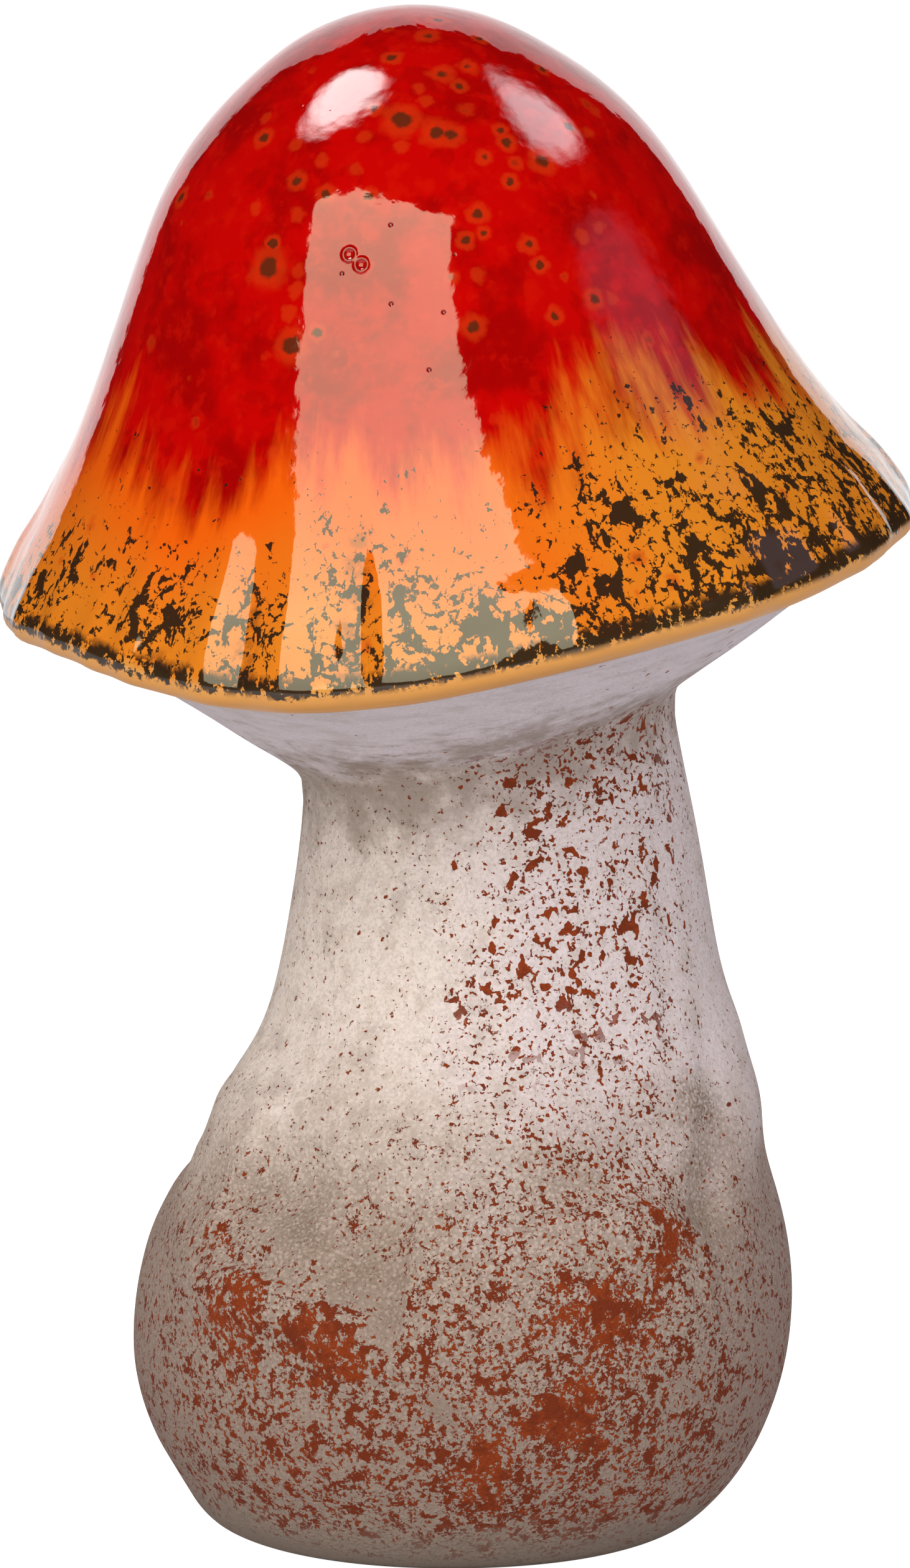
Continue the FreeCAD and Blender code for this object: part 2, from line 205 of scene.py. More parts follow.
def push_both_ways(piece, direction, reach, height_of):
    """Moves vertices by heights above and below zero in turn, because no weight is below zero."""
    for name, sign in (("raised", 1.0), ("lowered", -1.0)):
        group = weigh(piece, name, lambda place: sign * height_of(place))
        push(piece, group, direction, sign * reach)
    piece.vertex_groups.clear()


def smooth(piece, times, group=""):
    """Evens out a piece, or a vertex group of it, a number of times."""
    finish_with(piece, "SMOOTH", factor=0.5, iterations=times, vertex_group=group)


def lay_over(piece, node, thickness, group=""):
    """Lays a shell, or a vertex group of it, over a casting at an even thickness."""
    finish_with(
        piece,
        "SHRINKWRAP",
        target=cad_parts[node],
        wrap_method="NEAREST_SURFACEPOINT",
        wrap_mode="OUTSIDE_SURFACE",
        offset=thickness,
        vertex_group=group,
    )


def bump(offset, half_width):
    """A rounded bump of height 1."""
    return math.exp(-((offset / half_width) ** 2))


def smooth_step(share):
    """Rises from 0 to 1 with level ends."""
    share = min(1.0, max(0.0, share))
    return share * share * (3.0 - 2.0 * share)


def turn_of(place):
    """Where a place lies round the upright axis, in degrees: 0 is the right, 270 the front."""
    return math.degrees(math.atan2(place.y, place.x)) % 360.0


def rim_centre(cap):
    """Where the rim's centre is, from the foot's centre."""
    return Vector((cap.rim_right, cap.rim_back, cap.rim_height))


def leaning(lean_left, lean_forward):
    """The right, back and up directions of what leans left and forward by these angles."""
    up = Vector((-math.tan(lean_left), -math.tan(lean_forward), 1.0)).normalized()
    right = (Vector((1.0, 0.0, 0.0)) - up * up.x).normalized()
    return Matrix((right, up.cross(right), up)).transposed()


def along(points, count):
    """Evenly spaced places on a smooth curve through given points."""
    steps_between = 20
    points = [Vector(point) for point in points]
    last = len(points) - 1
    curve = []
    for index in range(last):
        before, start = points[max(0, index - 1)], points[index]
        end, after = points[index + 1], points[min(last, index + 2)]
        for step in range(steps_between):
            t = step / steps_between
            bend = 2.0 * before - 5.0 * start + 4.0 * end - after
            swing = 3.0 * start - before - 3.0 * end + after
            curve.append(start + ((end - before) * t + bend * t ** 2 + swing * t ** 3) / 2.0)
    curve.append(points[last])
    travelled = [0.0]
    for one, other in zip(curve, curve[1:]):
        travelled.append(travelled[-1] + (other - one).length)
    places = []
    index = 0
    for step in range(count):
        wanted = travelled[-1] * step / (count - 1)
        while index < len(curve) - 2 and travelled[index + 1] < wanted:
            index += 1
        part = (wanted - travelled[index]) / (travelled[index + 1] - travelled[index])
        places.append(curve[index].lerp(curve[index + 1], part))
    return places


def give_wall(piece, thickness, kept_share):
    """Gives a shell its wall, inwards, and thins the faces of the hidden side."""
    outer = len(piece.data.polygons)
    finish_with(piece, "SOLIDIFY", thickness=thickness, offset=-1.0, use_even_offset=False)
    hidden = {index for face in piece.data.polygons[outer:2 * outer] for index in face.vertices}
    for face in piece.data.polygons:
        face.select = outer <= face.index < 2 * outer
    for edge in piece.data.edges:
        edge.select = edge.vertices[0] in hidden and edge.vertices[1] in hidden
    for vertex in piece.data.vertices:
        vertex.select = vertex.index in hidden
    bpy.ops.object.mode_set(mode="EDIT")
    bpy.ops.mesh.decimate(ratio=kept_share)
    bpy.ops.object.mode_set(mode="OBJECT")


def hand_over(piece, replaced, finish):
    """Says what a finished piece stands for, and gives it its finish."""
    take_up(piece)
    bpy.ops.object.shade_smooth()
    piece.data.materials.clear()
    piece.data.materials.append(finish)
    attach(piece, "root")
    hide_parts(replaced)


# Finishes


class Finish:
    """A material under way: its nodes are added one by one and joined. Its lengths are millimetres."""

    def __init__(self, name):
        self.material = bpy.data.materials.new(name)
        self.material.use_nodes = True
        self.tree = self.material.node_tree
        self.shader = self.tree.nodes["Principled BSDF"]
        place = self.add("ShaderNodeTexCoord").outputs["Object"]
        self.place = self.scaled(place, 1.0 / MM)

    def add(self, kind, **settings):
        """Adds a node with its settings."""
        node = self.tree.nodes.new(kind)
        for setting, value in settings.items():
            setattr(node, setting, value)
        return node

    def feed(self, socket, value):
        """Joins a socket, or sets it where the value is plain."""
        if isinstance(value, bpy.types.NodeSocket):
            self.tree.links.new(value, socket)
        elif isinstance(value, (tuple, list)) and len(value) == 3 and socket.type == "RGBA":
            socket.default_value = (*value, 1.0)
        else:
            socket.default_value = value

    def sum(self, operation, one, other=0.0, clamp=False):
        """One step of arithmetic."""
        node = self.add("ShaderNodeMath", operation=operation, use_clamp=clamp)
        self.feed(node.inputs[0], one)
        self.feed(node.inputs[1], other)
        return node.outputs[0]

    def plus(self, one, other):
        """One value and another."""
        return self.sum("ADD", one, other)

    def times(self, one, other):
        """One value times another."""
        return self.sum("MULTIPLY", one, other)

    def total(self, value, *parts):
        """A value with other values added to it, each times its share."""
        for part, share in parts:
            value = self.plus(value, self.times(part, share))
        return value

    def centred(self, noise):
        """Noise about zero, so that it shifts things to both sides."""
        return self.plus(noise, -0.5)

    def either(self, one, other):
        """The stronger of two masks."""
        return self.sum("MAXIMUM", one, other)

    def less(self, mask, other):
        """A mask where another is not."""
        return self.times(mask, self.sum("SUBTRACT", 1.0, other, clamp=True))

    def step(self, value, low, high):
        """A mask that rises smoothly from 0 at low to 1 at high, or falls where low is the higher."""
        node = self.add("ShaderNodeMapRange", interpolation_type="SMOOTHSTEP", clamp=True)
        up = low < high
        self.feed(node.inputs["Value"], value)
        self.feed(node.inputs["From Min"], low if up else high)
        self.feed(node.inputs["From Max"], high if up else low)
        self.feed(node.inputs["To Min"], 0.0 if up else 1.0)
        self.feed(node.inputs["To Max"], 1.0 if up else 0.0)
        return node.outputs["Result"]

    def vector(self, operation, one, other=(0.0, 0.0, 0.0)):
        """One step of arithmetic with places, that gives a place or a length."""
        node = self.add("ShaderNodeVectorMath", operation=operation)
        self.feed(node.inputs[0], one)
        self.feed(node.inputs[1], other)
        return node.outputs["Value" if operation in ("DISTANCE", "LENGTH") else "Vector"]

    def scaled(self, place, share):
        """A place with each axis scaled."""
        return self.vector("MULTIPLY", place, share if isinstance(share, tuple) else (share, share, share))

    def moved(self, place, shift):
        """A place moved along."""
        return self.vector("ADD", place, shift)

    def parts(self, place):
        """A place's three coordinates."""
        node = self.add("ShaderNodeSeparateXYZ")
        self.feed(node.inputs[0], place)
        return node.outputs[0], node.outputs[1], node.outputs[2]

    def noise(self, place, size, detail=2.0, roughness=0.5, distortion=0.0, colour=False):
        """Cloudy noise whose largest clouds are about this size."""
        node = self.add("ShaderNodeTexNoise")
        self.feed(node.inputs["Vector"], place)
        node.inputs["Scale"].default_value = 1.0 / size
        node.inputs["Detail"].default_value = detail
        node.inputs["Roughness"].default_value = roughness
        node.inputs["Distortion"].default_value = distortion
        return node.outputs["Color" if colour else "Fac"]

    def scatter(self, place, size, feature):
        """Cells of about this size, scattered in space."""
        node = self.add("ShaderNodeTexVoronoi", feature=feature)
        self.feed(node.inputs["Vector"], place)
        node.inputs["Scale"].default_value = 1.0 / size
        return node

    def cells(self, place, size):
        """How far the nearest cell's middle is, in sizes, and two chances for each cell."""
        node = self.scatter(place, size, "F1")
        chances = self.add("ShaderNodeSeparateColor")
        self.feed(chances.inputs[0], node.outputs["Color"])
        return node.outputs["Distance"], chances.outputs[0], chances.outputs[1]

    def cracks(self, place, size):
        """How far the nearest crack between angular cells is, in sizes."""
        return self.scatter(place, size, "DISTANCE_TO_EDGE").outputs["Distance"]

    def around(self, place, girth, height_share):
        """The place wrapped round its upright axis, so that patterns run up and round the piece."""
        flat = self.scaled(place, (1.0, 1.0, 0.0))
        ring = self.scaled(self.vector("NORMALIZE", flat), girth)
        return self.moved(ring, self.scaled(place, (0.0, 0.0, height_share)))

    def ragged(self, place, size, reach):
        """The place with its edges made ragged."""
        shift = self.moved(self.noise(place, size, detail=3.0, colour=True), (-0.5, -0.5, -0.5))
        return self.moved(place, self.scaled(shift, reach))

    def nearest(self, place, spots):
        """How far the nearest of the spots is, in its own radii."""
        least = None
        for middle, radius in spots:
            distance = self.sum("DIVIDE", self.vector("DISTANCE", place, middle), radius)
            least = distance if least is None else self.sum("MINIMUM", least, distance)
        return least

    def layered(self, shade, *layers):
        """Paints colours over a shade one by one, each by its mask and strength."""
        for over, mask, strength in layers:
            shade = self.paint(shade, over, mask, strength)
        return shade

    def paint(self, under, over, mask, strength=1.0):
        """Lays one colour over another where the mask says, at most as strongly as asked."""
        node = self.add("ShaderNodeMix", data_type="RGBA")
        self.feed(node.inputs["Factor"], self.times(mask, strength))
        self.feed(node.inputs["A"], under)
        self.feed(node.inputs["B"], over)
        return node.outputs["Result"]

    def cap_place(self, cap):
        """The place in the leaning cap's own frame, from the rim's centre."""
        own = self.add("ShaderNodeMapping", vector_type="TEXTURE")
        self.feed(own.inputs["Vector"], self.place)
        own.inputs["Location"].default_value = rim_centre(cap) / MM
        own.inputs["Rotation"].default_value = leaning(cap.lean_left, cap.lean_forward).to_euler()
        return own.outputs["Vector"]

    def raise_surface(self, height, distance, under=None):
        """Bump from a height, over what is raised already. The distance is in millimetres."""
        node = self.add("ShaderNodeBump")
        self.feed(node.inputs["Height"], height)
        node.inputs["Distance"].default_value = distance * MM
        if under is not None:
            self.feed(node.inputs["Normal"], under)
        return node.outputs["Normal"]

    def glow_over(self, base, strength, tint=(1.0, 1.0, 1.0)):
        """Adds a glow to a shader and makes the two the surface."""
        shine = self.add("ShaderNodeEmission")
        self.feed(shine.inputs["Color"], tint)
        self.feed(shine.inputs["Strength"], strength)
        both = self.add("ShaderNodeAddShader")
        self.feed(both.inputs[0], base)
        self.feed(both.inputs[1], shine.outputs[0])
        self.feed(self.tree.nodes["Material Output"].inputs["Surface"], both.outputs[0])

    def complete(self, shade, roughness, normal=None, **sockets):
        """Joins colour, roughness and bump to the shader, and gives the material."""
        self.feed(self.shader.inputs["Base Color"], shade)
        self.feed(self.shader.inputs["Roughness"], roughness)
        if normal is not None:
            self.feed(self.shader.inputs["Normal"], normal)
        for name, value in sockets.items():
            self.shader.inputs[name.replace("_", " ")].default_value = value
        return self.material


def dome_place(cap, turn, rise):
    """Where a turn in degrees and a rise in millimetres lie on the glaze, in the cap's own frame."""
    over_casting = 0.8
    share = rise * MM / cap.rise
    pairs = list(zip(dome_shares[:-1], dome_shares[1:]))
    (out_low, up_low), (out_high, up_high) = next((pair for pair in pairs if pair[1][1] >= share), pairs[-1])
    out = out_low + (out_high - out_low) * (share - up_low) / (up_high - up_low)
    radius = cap.rim_radius / MM * out + over_casting
    around = math.radians(turn)
    return radius * math.cos(around), radius * math.sin(around), rise


def placed(rows):
    """Places with their radii, from rows of right, back, height and radius."""
    return [(row[:3], row[3]) for row in rows]


class Glaze(Finish):
    """Glossy glaze, red above, orange and amber below. Its place is the leaning cap's own."""

    def __init__(self, cap):
        super().__init__("red_to_amber_glaze")
        self.cap = cap
        self.height = self.parts(self.place)[2]
        self.place = self.cap_place(cap)
        self.right = self.parts(self.place)[0]
        self.above_rim = self.add("ShaderNodeAttribute", attribute_name="above_rim").outputs["Fac"]
        self.run = self.around(self.place, 56.0, 0.72)
        self.fine = self.noise(self.place, 2.6, detail=4.0, roughness=0.6)
        self.drift = self.noise(self.place, 22.0, detail=1.0)
        self.pits = self.nearest(self.place, self.on_dome(glaze_pits, pit_radius))

    def on_dome(self, rows, radius=None):
        """Places on the dome with their radii, from rows of turn, rise and, if not given, radius."""
        return [(dome_place(self.cap, *row[:2]), radius or row[2]) for row in rows]

    def red_ground(self):
        """Red, mottled and veined with a deep red and clouded with a bright one."""
        deep = (0.36, 0.0006, 0.0004)
        red = (0.55, 0.0010, 0.0004)
        bright = (0.63, 0.0070, 0.0010)
        mottle = self.noise(self.place, 12.0, detail=4.0, roughness=0.6)
        veins = self.noise(self.ragged(self.place, 4.0, 3.0), 5.0, detail=3.0, roughness=0.6)
        return self.layered(
            red,
            (deep, self.step(mottle, 0.44, 0.62), 1.0),
            (bright, self.step(self.fine, 0.50, 0.68), 0.5),
            (deep, self.step(veins, 0.56, 0.66), 0.5),
        )

    def warm_below(self, shade):
        """Runs into orange and amber below, lower on the right, with brown pools in the rim's dips."""
        orange = (0.86, 0.115, 0.003)
        amber = (0.74, 0.26, 0.018)
        pool_brown = (0.40, 0.105, 0.010)
        warm_from, warm_full = 158.0, 144.0
        streak = self.centred(self.noise(self.around(self.place, 50.0, 0.22), 4.0, detail=4.0, roughness=0.6))
        to_right = self.step(self.right, 6.0, 34.0)
        level = self.total(self.height, (streak, 34.0), (self.centred(self.drift), 22.0), (to_right, -9.0))
        to_amber = self.step(self.total(self.right, (streak, 20.0)), -4.0, 34.0)
        low_amber = self.step(self.total(self.above_rim, (self.drift, 24.0)), 38.0, 14.0)
        body = self.paint(orange, amber, self.either(self.times(to_amber, 0.85), self.times(low_amber, 0.75)))
        shade = self.paint(shade, body, self.step(level, warm_from, warm_full))
        near_pool = self.nearest(self.ragged(self.place, 3.0, 2.5), self.on_dome(glaze_pools))
        pooled = self.times(self.step(near_pool, 1.3, 0.6), self.step(self.fine, 0.36, 0.56))
        return self.paint(shade, pool_brown, pooled, 0.8)

    def spotted(self, shade):
        """Dark spots in orange halos: those in the tables, and small ones scattered between them."""
        halo_orange = (0.66, 0.045, 0.005)
        spot_brown = (0.05, 0.020, 0.006)
        cell, chosen, far = 5.0, 0.71, 99.0
        place = self.ragged(self.place, 1.2, 1.1)
        near_spot = self.nearest(place, self.on_dome(glaze_spots))
        near_dot = self.nearest(place, self.on_dome(glaze_dots, dot_radius))
        distance, chance, size = self.cells(place, cell)
        scattered = self.sum("DIVIDE", self.times(distance, cell), self.total(0.35, (size, 0.8)))
        scattered = self.total(scattered, (self.step(chance, chosen + 0.01, chosen - 0.01), far))
        wobble = self.times(self.centred(self.fine), 2.2)
        spot_halo = self.step(self.plus(near_spot, wobble), 2.7, 1.5)
        dot_halo = self.step(self.plus(self.sum("MINIMUM", near_dot, scattered), wobble), 1.5, 0.7)
        halos = self.either(self.times(spot_halo, 0.45), self.times(dot_halo, 0.42))
        shade = self.paint(shade, halo_orange, halos)
        core = self.times(self.step(self.total(near_spot, (wobble, 0.4)), 1.25, 0.75), 0.93)
        core = self.either(core, self.times(self.step(scattered, 0.75, 0.3), 0.4))
        return self.paint(shade, spot_brown, core, 0.9)

    def flecked(self, shade):
        """Burnt flecks, denser low down and to the right, a honey edge and a broken dark band above it."""
        honey = (0.72, 0.34, 0.075)
        burnt = (0.014, 0.012, 0.008)
        flecks_from, flecks_full = 40.0, 2.0
        cluster = self.centred(self.noise(self.place, 12.0, detail=2.0))
        blot = self.noise(self.run, 3.2, detail=5.0, roughness=0.66, distortion=0.2)
        centred_blot = self.centred(blot)
        depth = self.total(self.above_rim, (self.centred(self.drift), 22.0))
        depth = self.step(depth, flecks_from, flecks_full)
        to_right = self.step(self.right, -40.0, 25.0)
        spread = self.total(self.times(depth, 0.30), (cluster, 0.40), (to_right, 0.09))
        crack = self.cracks(self.ragged(self.scaled(self.place, (1.0, 1.0, 0.8)), 1.6, 2.4), 3.8)
        wide = self.plus(self.total(spread, (centred_blot, 1.3)), -0.27)
        flecks = self.step(self.total(wide, (crack, -1.0)), 0.0, 0.03)
        crumb = self.cracks(self.ragged(self.place, 0.8, 1.0), 1.5)
        small = self.centred(self.noise(self.place, 1.3, detail=3.0, roughness=0.6))
        small = self.plus(self.total(spread, (small, 1.3)), -0.305)
        flecks = self.either(flecks, self.step(self.total(small, (crumb, -1.0)), 0.0, 0.05))
        flecks = self.times(flecks, self.step(depth, 0.02, 0.12))
        honey_mask = self.step(self.total(self.above_rim, (centred_blot, 6.0)), 3.0, 1.2)
        shade = self.paint(shade, honey, honey_mask, 0.85)
        over_edge = self.step(self.total(self.above_rim, (self.plus(small, 0.1), -3.0)), 0.5, 0.9)
        under_top = self.step(self.total(self.above_rim, (blot, 4.0)), 6.2, 4.8)
        broken = self.step(self.noise(self.run, 2.0, detail=4.0, roughness=0.65), 0.44, 0.46)
        band = self.times(self.times(over_edge, under_top), broken)
        flecks = self.either(self.times(flecks, self.step(self.above_rim, 0.0, 1.6)), band)
        return self.paint(shade, burnt, flecks, 0.96)

    def pitted(self, shade):
        """Dark pinholes, and a scorched ring round each lobe of the crater."""
        pinhole_brown = (0.12, 0.003, 0.002)
        scorched_red = (0.16, 0.008, 0.004)
        shade = self.paint(shade, pinhole_brown, self.step(self.pits, 1.5, 0.8), 0.85)
        near_crater = self.nearest(self.place, self.on_dome(crater_lobes, crater_radius))
        ring = self.times(self.step(near_crater, 0.55, 0.9), self.step(near_crater, 1.35, 1.0))
        return self.paint(shade, scorched_red, ring, 0.6)

    def finished(self):
        """The material, wavy all over, pitted, and satin along its lower edge."""
        gloss, edge_gloss_loss = 0.045, 0.36
        shade = self.warm_below(self.red_ground())
        shade = self.pitted(self.flecked(self.spotted(shade)))
        normal = self.raise_surface(self.noise(self.place, 5.0, detail=2.0), 0.10)
        normal = self.raise_surface(self.noise(self.place, 0.7, detail=2.0), 0.006, normal)
        normal = self.raise_surface(self.step(self.pits, 0.5, 1.6), 0.12, normal)
        satin = self.step(self.above_rim, 2.2, -0.4)
        return self.complete(shade, self.total(gloss, (satin, edge_gloss_loss)), normal, IOR=1.5)


class Engobe(Finish):
    """Matte engobe: cream above, worn through to the clay in flecks, patches and grain below."""

    grime_brown = (0.33, 0.26, 0.21)

    def __init__(self, name, stem):
        super().__init__(name)
        self.stem = stem
        self.right, self.back, self.height = self.parts(self.place)
        self.cloud = self.centred(self.noise(self.place, 16.0, detail=4.0, roughness=0.6))
        self.patchy = self.centred(self.noise(self.place, 5.0, detail=4.0, roughness=0.65))
        self.fine = self.noise(self.place, 1.8, detail=5.0, roughness=0.74, distortion=0.25)
        self.grain = self.noise(self.place, 0.45, detail=2.0, roughness=0.6)
        self.low = self.step(self.total(self.height, (self.cloud, 30.0)), 72.0, 42.0)
        self.sides = self.step(self.sum("ABSOLUTE", self.right), 28.0, 42.0)
        crumb = self.step(self.cells(self.ragged(self.place, 0.8, 0.5), 0.62)[0], 0.34, 0.62)
        self.crumbs = self.times(crumb, self.low)
        # How near the hollows are that hold the brown wash and the painted shade.
        hollows = self.nearest(self.ragged(self.place, 9.0, 9.0), placed(washed_and_shaded_hollows))
        self.near_hollow = self.total(hollows, (self.patchy, 3.2))

    def above_neck(self):
        """The height above the joint's plane, in millimetres."""
        joint_height = 107.6
        level = self.total(
            self.height,
            (self.right, -math.tan(self.stem.lean_left)),
            (self.back, -math.tan(self.stem.lean_forward)),
        )
        return self.plus(level, -joint_height)

    def neck_grime(self):
        """A mask of the grey-brown dirt that lies in patches round the neck, on both sides of the joint."""
        off_neck = self.sum("ABSOLUTE", self.above_neck())
        patches = self.noise(self.moved(self.place, (3.0, 9.0, 5.0)), 6.0, detail=5.0, roughness=0.68)
        return self.times(self.step(self.total(off_neck, (self.centred(patches), -34.0)), 11.0, -1.0), 0.8)

    def ground(self):
        """Cream, with a lilac tint of painted cool light to the right and worn low down, with clouds,
        speckles, grain and crumbs.
        """
        cream = (0.80, 0.70, 0.615)
        lilac = (0.72, 0.63, 0.635)
        beige = (0.62, 0.51, 0.41)
        grey = (0.50, 0.43, 0.40)
        speckle_grey = (0.52, 0.44, 0.38)
        worn_white = (0.46, 0.36, 0.285)
        grain_grey = (0.40, 0.33, 0.29)
        crumb_brown = (0.25, 0.185, 0.14)
        # Painted light: the lilac tint towards the right stands in for cooler light falling from that side.
        to_right = self.step(self.total(self.right, (self.cloud, 34.0)), -10.0, 16.0)
        mist = self.noise(self.moved(self.place, (31.0, 7.0, 0.0)), 2.6, detail=5.0, roughness=0.7)
        beige_mask = self.times(self.step(self.plus(mist, self.patchy), 0.46, 0.66), 0.55)
        speckle = self.noise(self.place, 1.1, detail=4.0, roughness=0.7)
        return self.layered(
            cream,
            (lilac, to_right, 0.85),
            (beige, self.less(beige_mask, self.times(to_right, 0.5)), 1.0),
            (grey, self.step(self.patchy, 0.04, 0.20), 0.5),
            (speckle_grey, self.step(speckle, 0.44, 0.66), 0.35),
            (worn_white, self.low, 0.9),
            (grain_grey, self.step(self.grain, 0.46, 0.62), 0.28),
            (crumb_brown, self.crumbs, 0.55),
        )

    def dirtied_and_shaded(self, shade):
        """Brown wash and painted shade in the folds' hollows, and grime round the neck."""
        wash_and_shade_brown = (0.25, 0.185, 0.135)
        # Painted shade: the folds' hollows are darkened where shade falls under their lips, together with the
        # brown wash that lies in them.
        washed_and_shaded = self.times(self.step(self.near_hollow, 1.7, 0.0), self.step(self.grain, 0.30, 0.62))
        shade = self.paint(shade, wash_and_shade_brown, washed_and_shaded, 0.95)
        return self.paint(shade, self.grime_brown, self.neck_grime())

    def wear(self):
        """How worn the engobe is: at the worn places and low down, but not in hollows or at the foot."""
        worn = self.nearest(self.ragged(self.place, 8.0, 9.0), placed(worn_places))
        near_worn = self.total(worn, (self.patchy, 2.4))
        lower = self.step(self.total(self.height, (self.cloud, 40.0), (self.patchy, 24.0)), 76.0, 24.0)
        lower = self.less(lower, self.times(self.sides, 0.3))
        wear = self.either(self.times(self.step(near_worn, 1.7, 0.2), 0.90), self.times(lower, 0.55))
        wear = self.less(wear, self.times(self.step(self.near_hollow, 1.2, 0.5), 0.9))
        return self.times(wear, self.step(self.total(self.height, (self.patchy, 14.0)), 0.0, 9.0))

    def islands(self):
        """A mask of the clay on the stem: large flecks at the front and small ones all round."""
        spread = self.step(self.total(self.right, (self.cloud, 40.0)), -12.0, 10.0)
        spread = self.times(spread, self.step(self.right, 38.0, 24.0))
        big = self.noise(self.scaled(self.place, (1.0, 1.0, 0.9)), 2.0, detail=2.5, distortion=0.4)
        big = self.total(big, (spread, 0.20), (self.patchy, 0.30))
        front = self.times(self.step(self.height, 60.0, 78.0), self.step(self.back, 0.0, -12.0))
        little = self.noise(self.place, 0.7, detail=2.0, distortion=0.4)
        little = self.total(little, (spread, 0.13), (self.patchy, 0.25))
        return self.either(self.times(self.step(big, 0.804, 0.812), front), self.step(little, 0.728, 0.742))

    def worn_through(self, wear, through):
        """A mask of the clay that shows: in patches, specks and dots where worn, and in islands."""
        place = self.moved(self.place, (5.0, 2.0, 8.0))
        speck = self.noise(place, 0.75, detail=3.0, roughness=0.6, distortion=0.3)
        speck = self.total(speck, (self.patchy, 0.15), (wear, 0.17))
        patches = self.either(self.step(through, 0.672, 0.680), self.step(speck, 0.658, 0.672))
        dots = self.step(self.total(self.grain, (wear, 0.10)), 0.73, 0.75)
        return self.either(self.either(patches, self.times(dots, 0.8)), self.islands())

    def brushed_and_worn(self):
        """The colour and the bump of the engobe on the stem."""
        low_shade_brown = (0.29, 0.215, 0.17)
        side_brown = (0.27, 0.185, 0.155)
        edge_cream = (0.60, 0.50, 0.43)
        clay = (0.255, 0.040, 0.007)
        clay_dark = (0.17, 0.027, 0.007)
        foot_brown = (0.24, 0.19, 0.15)
        wear = self.wear()
        through = self.total(self.fine, (self.patchy, 0.20), (wear, 0.255))
        bare = self.worn_through(wear, through)
        # Painted shade, together with some of the worn lower bulb's own darker tone: the engobe darkens
        # towards the bottom.
        low_shade = self.step(self.total(self.height, (self.patchy, 20.0)), 48.0, 16.0)
        pale_edge = self.times(self.step(through, 0.640, 0.664), self.step(self.height, 60.0, 46.0))
        foot = self.step(self.total(self.height, (self.patchy, 16.0)), 10.0, 2.0)
        clay_shade = self.paint(clay, clay_dark, self.step(self.plus(self.patchy, self.fine), 0.42, 0.62))
        shade = self.layered(
            self.dirtied_and_shaded(self.ground()),
            (low_shade_brown, low_shade, 0.7),
            (side_brown, self.times(self.sides, self.low), 0.4),
            (edge_cream, pale_edge, 0.30),
            (clay_shade, bare, 1.0),
            (foot_brown, foot, 0.75),
        )
        normal = self.raise_surface(self.patchy, 0.25)
        normal = self.raise_surface(self.total(self.grain, (self.crumbs, -0.7)), 0.08, normal)
        return shade, self.raise_surface(self.times(bare, -1.0), 0.08, normal)


def stem_finish(stem):
    """Matte engobe over terracotta."""
    finish = Engobe("worn_stem_engobe", stem)
    shade, normal = finish.brushed_and_worn()
    return finish.complete(shade, 0.8, normal, Specular_IOR_Level=0.2)


def underside_finish(cap, stem):
    """Lilac-white engobe brushed round the underside, brown near the neck, and the stem's own below it."""
    lilac_white = (0.78, 0.71, 0.75)
    stroke_grey = (0.56, 0.49, 0.49)
    cloud_grey = (0.56, 0.48, 0.43)
    grain_grey = (0.45, 0.38, 0.36)
    neck_brown = (0.27, 0.20, 0.15)
    fleck_clay = (0.24, 0.035, 0.010)
    finish = Engobe("brushed_underside_engobe", stem)
    place = finish.cap_place(cap)
    right, _, rise = finish.parts(place)
    strokes = finish.noise(finish.around(place, 9.0, 1.0), 1.4, detail=5.0, roughness=0.65)
    cloud = finish.noise(place, 9.0, detail=4.0, roughness=0.6)
    off_middle = finish.centred(cloud)
    grain = finish.noise(place, 0.45, detail=2.0, roughness=0.6)
    near_neck = finish.step(finish.total(rise, (off_middle, 14.0)), -9.0, -22.0)
    brown = finish.times(finish.step(finish.total(strokes, (near_neck, 0.12)), 0.62, 0.70), near_neck)
    fleck = finish.noise(finish.around(place, 26.0, 1.0), 1.1, detail=2.0, distortion=0.3)
    fleck = finish.total(fleck, (finish.step(right, 2.0, 20.0), 0.08), (off_middle, 0.3))
    below = finish.step(finish.total(finish.above_neck(), (off_middle, 8.0)), 4.5, 0.5)
    stem_shade, normal = finish.brushed_and_worn()
    shade = finish.layered(
        lilac_white,
        (stroke_grey, finish.step(strokes, 0.42, 0.72), 0.5),
        (cloud_grey, finish.step(cloud, 0.50, 0.66), 0.35),
        (grain_grey, finish.step(grain, 0.46, 0.64), 0.2),
        (neck_brown, brown, 0.6),
        (finish.grime_brown, finish.neck_grime(), 1.0),
        (fleck_clay, finish.step(fleck, 0.78, 0.79), 1.0),
        (stem_shade, below, 1.0),
    )
    return finish.complete(shade, 0.78, finish.raise_surface(strokes, 0.08, normal), Specular_IOR_Level=0.2)


def clay_finish(name, light, dark):
    """Bare fired clay, slightly speckled."""
    finish = Finish(name)
    cloud = finish.noise(finish.place, 6.0, detail=5.0, roughness=0.65)
    grain = finish.noise(finish.place, 0.5, detail=2.0)
    shade = finish.paint(light, dark, cloud)
    return finish.complete(shade, 0.85, finish.raise_surface(grain, 0.05))


# Places on the ornament, listed


# Middle and half width in degrees, and height as a share of the rim's warp
rim_waves = (
    (210.0, 20.0, 0.75), (252.0, 24.0, -0.50), (300.0, 30.0, 0.52),
    (338.0, 20.0, 0.30), (20.0, 30.0, -0.35), (75.0, 35.0, 0.50),
    (135.0, 32.0, -0.60),
)
